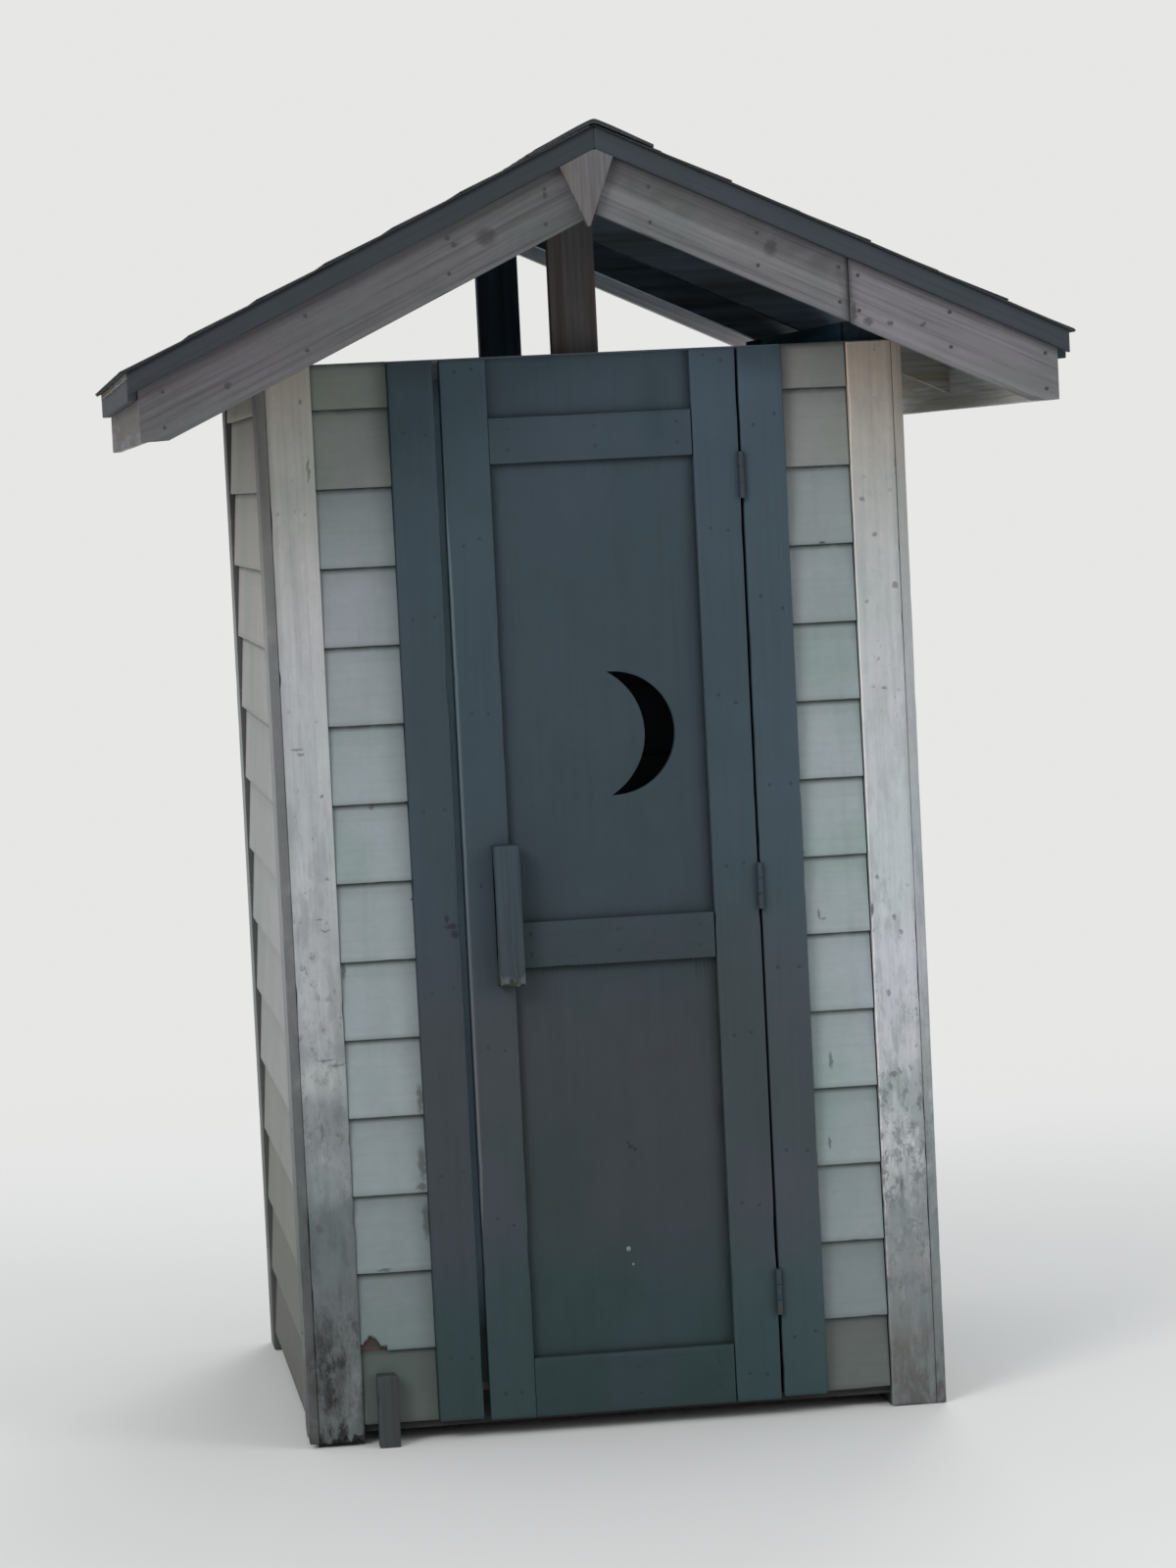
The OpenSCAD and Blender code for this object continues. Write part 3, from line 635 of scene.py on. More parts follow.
# The slate turns paler at the head of the doorway: painted light where the roof casts shade
SLATE_LIT_HEAD_BANDS = [
    (0.05, 0.72, 0.86, 0.74), (0.27, 0.78, 0.90, 0.78), (0.42, 1.08, 0.88, 0.82), (0.80, 1.12, 0.88, 0.82),
    (1.05, 1.0, 0.97, 0.97), (1.50, 1.0, 1.0, 1.0), (1.90, 1.12, 1.12, 1.14), (2.06, 1.38, 1.36, 1.38)]
PLAIN_BANDS = [(0.0, 1.0, 1.0, 1.0), (BAND_SPAN, 1.0, 1.0, 1.0)]
# The door posts: painted shade at both ends of the gap beside the leaf, where it is darkest
POST_SHADE_BANDS = [(0.20, 0.2, 0.2, 0.2), (0.36, 1.0, 1.0, 1.0), (1.95, 1.0, 1.0, 1.0), (2.06, 0.3, 0.3, 0.3)]

# Stains, scars and rubbed places that the boards of the front show
LAP_MARKS = on_face(
    LAP_FACE, (-0.447, 1.243, 0.007, 0.005), (-0.382, 0.670, 0.007, 0.034), (-0.384, 0.545, 0.009, 0.036),
    (-0.381, 0.430, 0.009, 0.040), (-0.388, 0.500, 0.012, 0.008), (0.420, 0.985, 0.004, 0.013),
    (0.428, 0.975, 0.006, 0.004), (0.432, 0.695, 0.004, 0.020), (0.421, 0.532, 0.004, 0.014),
    (-0.470, 0.342, 0.018, 0.003), (0.470, 0.335, 0.030, 0.003), (-0.516, 0.93, 0.004, 0.02))
LEFT_PALE = on_face(
    CORNER_FACE, (-0.562, 0.720, 0.075, 0.045), (-0.575, 0.525, 0.075, 0.060), (-0.536, 0.110, 0.012, 0.060))
LEFT_MARKS = on_face(
    CORNER_FACE, (-0.585, 1.362, 0.014, 0.0035), (-0.578, 1.353, 0.010, 0.003), (-0.540, 1.27, 0.004, 0.004),
    (-0.540, 1.11, 0.005, 0.003), (-0.560, 1.032, 0.008, 0.0025), (-0.548, 1.010, 0.010, 0.0025),
    (-0.560, 0.758, 0.020, 0.003), (-0.538, 0.748, 0.018, 0.003), (-0.590, 0.43, 0.010, 0.014),
    (-0.545, 2.03, 0.004, 0.006), (-0.536, 1.90, 0.003, 0.028), (-0.575, 0.62, 0.005, 0.022),
    (-0.556, 0.30, 0.004, 0.030), (-0.590, 0.24, 0.005, 0.034), (-0.570, 0.12, 0.006, 0.040))
RIGHT_MARKS = on_face(
    CORNER_FACE, (0.543, 1.79, 0.005, 0.006), (0.564, 1.72, 0.006, 0.005), (0.542, 1.59, 0.005, 0.005),
    (0.600, 1.62, 0.007, 0.006), (0.568, 1.42, 0.006, 0.005), (0.539, 1.05, 0.004, 0.006),
    (0.567, 0.97, 0.005, 0.006), (0.581, 0.94, 0.004, 0.006), (0.552, 0.82, 0.006, 0.007),
    (0.553, 0.66, 0.010, 0.006), (0.604, 0.60, 0.005, 0.022), (0.560, 0.44, 0.005, 0.018))
SLATE_MARKS = on_face(
    CASING_FACE, (-0.306, 1.005, 0.016, 0.006), (-0.300, 0.990, 0.010, 0.010), (-0.315, 1.020, 0.006, 0.008),
) + on_face(
    LEAF_FACE, (0.026, 0.552, 0.006, 0.005), (0.020, 0.560, 0.004, 0.004), (0.033, 0.547, 0.004, 0.004))
BARGE_MARKS = on_face(
    BARGE_FACE, (-0.208, 2.313, 0.022, 0.019), (-0.094, 2.385, 0.006, 0.006), (-0.268, 2.300, 0.008, 0.006),
    (0.478, 2.145, 0.005, 0.022), (0.505, 2.125, 0.010, 0.008), (0.545, 2.120, 0.007, 0.005),
    (0.325, 2.272, 0.014, 0.020), (0.610, 2.115, 0.006, 0.005), (-0.700, 2.060, 0.008, 0.008))

# Wood that shows where paint is gone, and the roof's underside: a pale blue that paints the blue of the
# shade under the roof
LAP_WOOD, SLATE_WOOD, UNDER_ROOF_SHADE_BLUE = (0.080, 0.058, 0.054), (0.10, 0.09, 0.08), (0.300, 0.385, 0.465)

FINISHES = {}


def recipes(s):
    """How each finish is made: its maker, its name, its colour and what else the maker takes."""
    siding, corner, slate, wood = (tuple(colour) for colour in (
        s.siding_colour, s.corner_colour, s.slate_colour, s.timber_colour))
    laps = dict(bare=LAP_WOOD, by_board=True, drift=0.13, peel=-0.06, grain=0.12, streaks=0.10, edge=1.0)
    front_laps = dict(bands=SIDING_BANDS, spots=LAP_MARKS, **laps)
    # A darker copy of the framing wood for skids, joists, sole plates and the rear top plate: painted shade
    shaded_wood = shade(wood, 0.45, (0.85, 1.0, 1.1))
    barge_inside = high("barge_rear")[1] - TRIM / 2
    leaf_edge = LEAF_CORNER[0] - LEAF_WIDTH
    post_face = low("door_posts")[1]
    return {
        "siding": (paint, "siding_paint", siding, dict(bands=SIDING_BANDS, **laps)),
        "siding_front_left": (paint, "siding_shaded", shade(siding, 0.88, (0.95, 0.99, 0.975)), front_laps),
        "siding_front_right": (paint, "siding_front", shade(siding, 1.0, (0.955, 0.99, 0.98)), front_laps),
        # The left wall: a paler, warmer copy of the siding paint, painted light from the left
        "siding_left": (paint, "siding_warm", shade(siding, 1.0, (1.17, 1.07, 1.01)),
                        dict(bands=LEFT_WALL_BANDS, **laps)),
        # A navy sheet behind the laps: painted shade of the inside
        "lining": (timber, "lining_boards", (0.095, 0.205, 0.285), dict(depth=0.5, specular=0.1)),
        "corner_left": (paint, "corner_left_paint", shade(corner, 0.96, (0.846, 0.820, 0.813)), dict(
            bands=LEFT_BANDS, bare=(0.135, 0.132, 0.120), drift=0.08, peel=-0.06, foot_peel=0.05 * s.wear,
            flecks=0.62, fleck_top=1.30, edge=0.8, grain=0.3, spots=LEFT_MARKS, pale_spots=LEFT_PALE)),
        "corner": (paint, "corner_paint", corner, dict(
            bands=CORNER_BANDS, bare=(0.21, 0.20, 0.19), drift=0.08, peel=-0.05, foot_peel=0.03 * s.wear,
            streaks=0.12, flecks=0.80, fleck_top=0.98, edge=0.7, grain=0.3, spots=RIGHT_MARKS)),
        "slate": (paint, "slate_paint", slate, dict(
            bands=SLATE_LIT_HEAD_BANDS, bare=SLATE_WOOD, peel=-0.22, streaks=0.10, edge=0.35, grain=0.16, gloss=0.62,
            specular=0.22, spots=SLATE_MARKS)),
        # The door posts: a paler copy of the slate, paler still on the left post's face in the gap: painted
        # light
        "post": (paint, "post_paint", shade(slate, 3.2), dict(
            bands=POST_SHADE_BANDS, bare=SLATE_WOOD, peel=-0.3, grain=0.2, specular=0.2,
            zone=((0, leaf_edge + 0.001, leaf_edge - 0.001), (1, post_face + 0.003, post_face + 0.001),
                  (2.2, 2.1, 2.1)))),
        # Barges: the rear barges' inner faces, which show under the roof, are made much paler: painted light
        "barge": (paint, "barge_paint", tuple(s.barge_colour), dict(
            bands=PLAIN_BANDS, bare=(0.19, 0.178, 0.170), drift=0.14, peel=-0.02, streaks=0.0, edge=0.9,
            grain=0.8, rings=0.34, gloss=0.68, specular=0.25, spots=BARGE_MARKS,
            zone=((1, barge_inside + 0.001, barge_inside - 0.001), (1, 0.0, 0.1), (3.9, 3.8, 3.7)))),
        "wedge": (timber, "wedge_wood", (0.152, 0.145, 0.150), dict(depth=0.6)),
        "trim": (paint, "trim_paint", tuple(s.trim_colour), dict(
            bands=PLAIN_BANDS, bare=(0.08, 0.075, 0.07), peel=-0.08, streaks=0.0, grain=0.4, gloss=0.62,
            specular=0.22)),
        # Fascias: pale wood on the inner faces, painted light; tails gives the outer faces a dark grey
        "fascia": (timber, "fascia_wood", (0.76, 0.75, 0.69),
                   dict(tails=(0, high("fascias")[0] - 0.014, (0.150, 0.142, 0.174)))),
        "floor": (timber, "floor_wood", (0.150, 0.130, 0.108), {}),
        "stake": (timber, "stake_wood", (0.053, 0.066, 0.070), dict(depth=1.6)),
        "pull": (paint, "pull_paint", slate, dict(
            bands=SLATE_LIT_HEAD_BANDS, bare=(0.045, 0.055, 0.036), peel=-0.04, streaks=0.0, edge=1.0, grain=0.7,
            specular=0.25)),
        # Deck and rafters: painted blue shade, with tails that paint their overhangs past the walls a lit
        # grey-brown
        "deck": (timber, "deck_ply", UNDER_ROOF_SHADE_BLUE,
                 dict(grain_axis=1, depth=0.6, specular=0.0, tails=(0, SIDE, (0.907, 0.667, 0.525)))),
        # Plates and ridge board: navy, painted shade; towards the rear they turn darker and browner
        "plate": (timber, "plate_wood", (0.080, 0.150, 0.200),
                  dict(grain_axis=1, specular=0.0, tails=(1, 0.46, (0.35, 0.25, 0.25)))),
        "rafter": (timber, "rafter_wood", UNDER_ROOF_SHADE_BLUE,
                   dict(grain_axis=0, specular=0.0, tails=(0, SIDE, (1.333, 0.988, 0.726)))),
        "timber_x": (timber, "timber_across", shaded_wood, dict(grain_axis=0)),
        "timber_y": (timber, "timber_back", shaded_wood, dict(grain_axis=1)),
        "timber_z": (timber, "timber_upright", wood, dict(grain_axis=2)),
        # King posts: the rear one turns blue past y = 0.50, painted shade
        "king": (timber, "king_wood", (0.108, 0.096, 0.094),
                 dict(grain_axis=2, tails=(1, 0.50, (1.4, 2.3, 3.2)))),
        "shingles": (mineral, "shingle_face", tuple(s.shingle_colour), {}),
        "hinge": (metal, "hinge_paint", shade(slate, 0.80), dict(rust_share=0.2)),
        "nail": (metal, "nail_iron", (0.045, 0.042, 0.041), dict(rust_share=0.2)),
        "tin": (metal, "tin_nail", (0.17, 0.19, 0.18), dict(rust_share=0.1)),
    }


def finish_of(key, s):
    """Makes a finish the first time that it is asked for, and gives the same one after that."""
    if key not in FINISHES:
        maker, name, colour, more = recipes(s)[key]
        FINISHES[key] = maker(name, colour, **more)
    return FINISHES[key]


class OUTHOUSE_OT_siding(bpy.types.Operator):
    """Lap siding of the four walls: wedge-shaped boards with rounded butts, over a thin lining"""

    bl_idname = "outhouse.siding"
    bl_label = "Siding"

    def execute(self, context):
        s = context.scene.outhouse
        rng = np.random.default_rng(11)
        inner_edges = np.arange(s.siding_foot + s.first_course, WALL_TOP, s.course)
        heights = [s.siding_foot, *inner_edges, WALL_TOP]
        for wall, out in (("front_left", -Y), ("front_right", -Y), ("left", -X), ("right", X), ("rear", Y)):
            node = "siding_" + wall
            along = np.cross(Z, out)
            origin = np.where(along + out > 0, low(node), high(node)) * (1, 1, 0)
            length = abs((high(node) - low(node)) @ along)
            laps = []
            for number, (z0, z1) in enumerate(zip(heights[:-1], heights[1:])):
                full = s.course if number else s.first_course
                chipped = wall == "front_left" and number == 1
                laps.append(self.lap(rng, origin, along, out, length, z0, z1, full, chipped))
            key = "siding" if wall in ("right", "rear") else node
            piece("laps_" + wall, "building", finish_of(key, s), laps, [node])
            # A thin navy sheet behind the laps, whose colour paints the shade of the inside
            inset, thin = 0.003, 0.003
            start = origin + (s.siding_foot + 0.004) * Z + inset * along + 0.0012 * out
            size = (length - 2 * inset, WALL_TOP - s.siding_foot - 2 * inset, thin)
            sheet = board(rng, start, along, Z, out, size, step=0.3, lines=2, bow=0, chip=0, tone=0.5,
                          ease=0.0006)
            piece("lining_" + wall, "building", finish_of("lining", s), [sheet])
        return {"FINISHED"}

    def lap(self, rng, origin, along, out, length, z0, z1, full, chipped):
        """One lap: thick at its butt and thinner upwards in a straight line, and a little out of level."""
        show = z1 - z0
        thinner = (1 - LAP_TOP / BUTT) * min(1.0, show / full)
        tilt = rng.uniform(-0.0010, 0.0010)
        end_gap, joint, seated = 0.0006, 0.0004, 0.0003

        def taper(w):
            return 1 - thinner * np.clip(w / show, 0, 1)

        # Painted shadow under the next lap's butt, and painted shade along this lap's lower edge
        def edge_dirt_and_shade(a, w):
            return smooth(w, show - 0.015, show - 0.004) + 0.4 * smooth(w, 0.004, 0.0)

        more = dict(lines=5)
        if chipped:
            more = dict(lines=40, extra=np.linspace(0.003, 0.078, 40),
                        dent=lambda a, w: 0.66 * self.chip(a, w), wear=lambda a, w: 3.0 * self.chip(a, w))
        return board(
            rng, origin + (z0 + joint / 2) * Z + end_gap * along, along, Z + tilt * along, out,
            (length - 2 * end_gap, show - joint, BUTT - seated), ease=0.0022, step=0.03, bow=0.0003,
            chip=0.0014, tone=0.5 * (z0 + z1) + rng.uniform(-0.03, 0.03), taper=taper, grime=edge_dirt_and_shade,
            **more)

    def chip(self, a, w):
        """The chip beside the corner: 1 under a mound whose frayed outline is a line through four points."""
        mound = np.interp(a, [0.0, 0.023, 0.038, 0.052], [0.012, 0.033, 0.014, 0.0])
        frayed = mound + 0.0035 * ripple(np.random.default_rng(3), a, 0.012) * (mound > 0)
        return smooth(frayed - w, -0.0015, 0.0025) * (a < 0.053)


class OUTHOUSE_OT_corner_boards(bpy.types.Operator):
    """Corner boards, with a rotted foot at the front left"""

    bl_idname = "outhouse.corner_boards"
    bl_label = "Corner boards"

    def execute(self, context):
        s = context.scene.outhouse
        rng = np.random.default_rng(12)
        for end, face in (("front", -Y), ("rear", Y)):
            for side, inward in (("left", X), ("right", -X)):
                name = f"{end}_{side}"
                boards = self.pair(rng, "corner_" + name, face, inward)
                key = "corner_left" if side == "left" else "corner"
                piece("corner_boards_" + name, "building", finish_of(key, s), boards,
                      ["corner_" + name])
        return {"FINISHED"}

    def pair(self, rng, node, face, inward):
        """The face board and the side board of one corner, whose feet are ragged by sines of the width."""
        lo, hi = low(node), high(node)
        front, left = face[1] < 0, inward[0] > 0
        rotted = front and left
        start = np.where(inward - face > 0, lo, hi) * (1, 1, 0)
        seam = TRIM + 0.0006
        width, deep, tall = hi[0] - lo[0] - seam, hi[1] - lo[1], hi[2]
        rag = 0.05 if rotted else 0.006
        # Painted shade under the eave on the left side boards; side boards' front arrises darker: painted
        # shade at
        eave_shade = 0.80 if left else 0.0
        # the front left, lighter at the front right, and darker still at the rear
        edge_dirt_and_shade = (0.75 if left else 0.12) if front else 1.35

        def foot(w, t):
            return rag * (0.15 + 0.85 * np.abs(ripple(np.random.default_rng(6), w + 0.7 * t, 0.035, 3)))

        # A pale line on the face board's inner arris: worn paint with a painted highlight
        def rubbed_and_lit(a, w):
            return 0.55 * smooth(w, width - 0.010, width - 0.002)

        def side_shade_and_dirt(a, w):
            at_arris = smooth(w if front else deep - w, 0.0022, 0.0008)
            return np.maximum(eave_shade * smooth(a, 1.50, 1.92), edge_dirt_and_shade * at_arris)

        look = dict(chip=0.0022, wear=rubbed_and_lit)
        if rotted:
            look = dict(lines=9, chip=0.004, extra=np.linspace(0.01, 0.2, 20))
        face_board = board(
            rng, start - TRIM * face + seam * inward, Z, inward, face, (tall, width, TRIM), foot=foot,
            tone=0.5, grime=lambda a, w: 0.5 * smooth(w, 0.003, 0.0), step=0.02, **look)
        # The left side boards' low tone darkens them: painted shade
        side_board = board(
            rng, start + TRIM * inward, Z, -face, -inward, (tall, deep, TRIM), lines=6, foot=foot,
            chip=0.0012, tone=-0.35 if left else 0.1, grime=side_shade_and_dirt)
        return [face_board, side_board]


class OUTHOUSE_OT_casings(bpy.types.Operator):
    """Casings at both sides of the doorway"""

    bl_idname = "outhouse.casings"
    bl_label = "Casings"

    def execute(self, context):
        s = context.scene.outhouse
        rng = np.random.default_rng(13)
        for side, tone in (("left", 0.55), ("right", 1.3)):
            made = filled(rng, "casing_" + side, Z, X, -Y, ease=0.003, chip=0.002, tone=tone,
                          grime=lambda a, w: 0.4 * smooth(a, 1.98, 2.06))
            piece("casing_board_" + side, "building", finish_of("slate", s), [made],
                  ["casing_" + side])
        return {"FINISHED"}


def on_leaf(across, out, up):
    """A place on the leaf from its lower right corner: to the right, towards -Y from its back, and up."""
    return spread(LEAF_CORNER, (across, X), (LEAF_THICK - np.asarray(out), Y), (up, Z))


def crescent(turn):
    """The cut-out's outline, from its lower tip once round the outer arc and back along the hollow one.

    turn goes from 0 to 1. Both arcs are parts of circles whose centres lie on one level.
    """
    tip_x = -(ARC_SHIFT ** 2 + OUTER_ARC ** 2 - HOLLOW_ARC ** 2) / (2 * ARC_SHIFT)
    tip = math.sqrt(OUTER_ARC ** 2 - tip_x ** 2)
    wide = math.atan2(tip, tip_x)
    narrow = math.atan2(tip, tip_x + ARC_SHIFT)
    first = turn < OUTER_SHARE
    back = (turn - OUTER_SHARE) / (1 - OUTER_SHARE)
    angle = np.where(first, wide * (2 * turn / OUTER_SHARE - 1), narrow * (1 - 2 * back))
    radius = np.where(first, OUTER_ARC, HOLLOW_ARC)
    return np.stack([radius * np.cos(angle) - np.where(first, 0, ARC_SHIFT), radius * np.sin(angle)], -1)


class OUTHOUSE_OT_leaf(bpy.types.Operator):
    """Door leaf: panel with its crescent, stiles, rails and the wooden pull"""

    bl_idname = "outhouse.leaf"
    bl_label = "Door leaf"

    def execute(self, context):
        s = context.scene.outhouse
        rng = np.random.default_rng(14)
        slate = finish_of("slate", s)
        panel_face = LEAF_THICK - LEDGE
        piece("panel_board", "door", slate, [self.panel(rng, panel_face)], ["door_panel"])

        # A pale line down the left stile's outer arris: worn paint with a painted highlight
        def rubbed_and_lit(a, w):
            return 1.6 * smooth(w, 0.0032, 0.0016) * smooth(a, 0.3, 0.5) * smooth(a, 1.9, 1.6)

        stiles = [
            board(rng, on_leaf(left, panel_face, 0), Z, X, -Y, (LEAF_HEIGHT, STILE, LEDGE), ease=0.0022,
                  chip=0.002, tone=tone, wear=wear)
            for left, tone, wear in ((-LEAF_WIDTH, 0.8, rubbed_and_lit), (-STILE, 1.0, None))]
        piece("stile_boards", "door", slate, stiles, ["door_stiles"])
        gap, set_back = 0.0004, 0.0006
        rails = [
            board(rng, on_leaf(STILE - LEAF_WIDTH + gap, panel_face, z), X, Z, -Y,
                  (LEAF_WIDTH - 2 * STILE - 2 * gap, tall, LEDGE - set_back), ease=0.002, chip=0.0012,
                  tone=tone)
            for z, tall, tone in ((0, LOW_RAIL, 0.3), (MIDDLE_RAIL, STILE, 0.45), (TOP_RAIL, STILE, 0.45))]
        piece("rail_boards", "door", slate, rails, ["door_rails"])
        piece("pull_block", "door", finish_of("pull", s), [self.pull(rng)], ["door_pull"])
        return {"FINISHED"}

    def panel(self, rng, face):
        """The panel as one closed ring of surface: rows go out from the crescent to the rectangle's edge over
        the face, back in behind it, and through the hole; columns go round. A point of the face is the
        straight blend between the crescent's outline and the rectangle's. Both tips point at the left edge,
        150 degrees round from the right, so that no two columns cross. Dirt and painted shade fade away from
        stiles and rails.
        """
        turn = np.arange(560) / 560
        hole = crescent(turn) + CRESCENT_PLACE
        middle = np.array([-0.200, CRESCENT_PLACE[1]])
        back = (turn - OUTER_SHARE) / (1 - OUTER_SHARE)
        spin = np.radians(np.where(turn < OUTER_SHARE, -150 + 300 * turn / OUTER_SHARE, 150 + 60 * back))
        aim = np.stack([np.cos(spin), np.sin(spin)], -1)
        corners = np.array([(-LEAF_WIDTH, 0.0), (0.0, 0.0), (0.0, LEAF_HEIGHT), (-LEAF_WIDTH, LEAF_HEIGHT)])
        reach = (np.where(aim > 0, corners[2] - middle, corners[0] - middle) / aim).min(-1)
        rim = middle + aim * reach[:, None]
        for corner in corners:
            rim[np.argmin(np.hypot(*(rim - corner).T))] = corner
        in_front = np.concatenate([[0.0, 0.006], np.linspace(0.02, 0.98, 120), [0.997, 1.0]])
        behind = np.array([1.0, 0.997, 0.90, 0.75, 0.60, 0.45, 0.30, 0.15, 0.04, 0.006, 0.0])
        rows = np.concatenate([in_front, behind])[:, None]
        on_front = np.arange(rows.size)[:, None] < in_front.size
        at_edge = (rows == 0) | (rows == 1)
        out = np.where(on_front, face - 0.0012 * at_edge, 0.0012 * at_edge)
        flat = hole * (1 - rows[..., None]) + rim * rows[..., None]
        across, up = flat[..., 0], flat[..., 1]
        warp = 0.0004 * ripple(rng, up, 0.8) + 0.0003 * ripple(rng, across, 0.3)
        points = on_leaf(across, out - 0.0004 + np.where(rows > 0.01, warp, 0), up)
        # Dirt and painted shade beside stiles and rails: the coordinate, the line, the side that it falls on,
        edges = (
            # its width and its strength
            (across, STILE - LEAF_WIDTH, 1, 0.010, 0.40), (across, -STILE, -1, 0.007, 0.95),
            (up, LOW_RAIL, 1, 0.004, 0.9), (up, MIDDLE_RAIL, -1, 0.007, 1.0),
            (up, MIDDLE_RAIL + STILE, 1, 0.004, 0.5), (up, TOP_RAIL, -1, 0.006, 0.9),
            (up, TOP_RAIL + STILE, 1, 0.004, 0.5))
        dirt_and_shade = 0.0
        for place, line, way, wide, strong in edges:
            past = way * (place - line)
            dirt_and_shade = np.maximum(dirt_and_shade, strong * np.exp(-np.maximum(past, 0) / wide) * (past > -0.02))
        index = np.arange(up.size).reshape(up.shape)
        after = np.roll(index, -1, 1)
        quads = np.stack([index, after, np.roll(after, -1, 0), np.roll(index, -1, 0)], -1).reshape(-1, 4)
        return closed_part(points, quads, [], flat[..., ::-1], at_edge * 0.8, dirt_and_shade * on_front, 0.42)

    def pull(self, rng):
        """The pull: an outline with a finger gap, drawn in a little at both ends of its width, which rounds
        it. Each corner of the outline is a parabola between two points near it, and its lower end is worn."""
        long, wide, proud, grip, foot = 0.277, 0.050, 0.046, 0.024, 0.042
        inner = proud - grip
        line = np.array([
            [0, 0], [0, foot], [inner, foot + inner], [inner, long - foot - inner], [0, long - foot],
            [0, long], [proud, long], [proud, 0]])
        t = np.linspace(0, 1, 4)[:, None]
        outline = []
        for a, b, c in zip(np.roll(line, 1, 0), line, np.roll(line, -1, 0)):
            bend = 0.004 if b[0] > 0.001 else 0.0012
            start, end = (b + bend * (other - b) / np.linalg.norm(other - b) for other in (a, c))
            outline.append((1 - t) ** 2 * start + 2 * t * (1 - t) * b + t ** 2 * end)
        bends = np.concatenate(outline)
        stretches = []
        for a, b in zip(bends, np.roll(bends, -1, 0)):
            count = max(1, int(np.linalg.norm(b - a) / 0.012))
            stretches.append(a + (b - a) * (np.arange(count) / count)[:, None])
        ring = np.concatenate(stretches)
        ahead = np.roll(ring, -1, 0) - np.roll(ring, 1, 0)
        outwards = np.stack([-ahead[:, 1], ahead[:, 0]], -1) / np.linalg.norm(ahead, axis=1)[:, None]
        across = np.array([0, 0.0015, 0.004, 0.015, 0.025, 0.035, 0.046, 0.0485, 0.050])
        inset = np.array([0.0035, 0.0012, 0, 0, 0, 0, 0, 0.0012, 0.0035])[:, None]
        drawn_in = ring - outwards * inset[..., None]
        out, up = drawn_in[..., 0], drawn_in[..., 1]
        lost = smooth(up, 0.05, 0.0) * smooth(out, 0.02, 0.045)
        up = up + 0.020 * lost * np.abs(ripple(rng, across, 0.03))[:, None]
        out = np.clip(out, 0.0, proud) - 0.004 * lost
        across = across[:, None]
        points = on_leaf(0.080 - LEAF_WIDTH - wide / 2 + across, LEAF_THICK + out, 0.985 - long / 2 + up)
        edge = np.clip(0.3 + 1.6 * lost + (inset > 0) * 0.5, 0, 2)
        # Painted shade where the pull meets the leaf
        return tube(points, up, across + 1.3 * out, edge, 0.6 * smooth(out, 0.008, 0.0), 0.5, (3.0, 5.0))


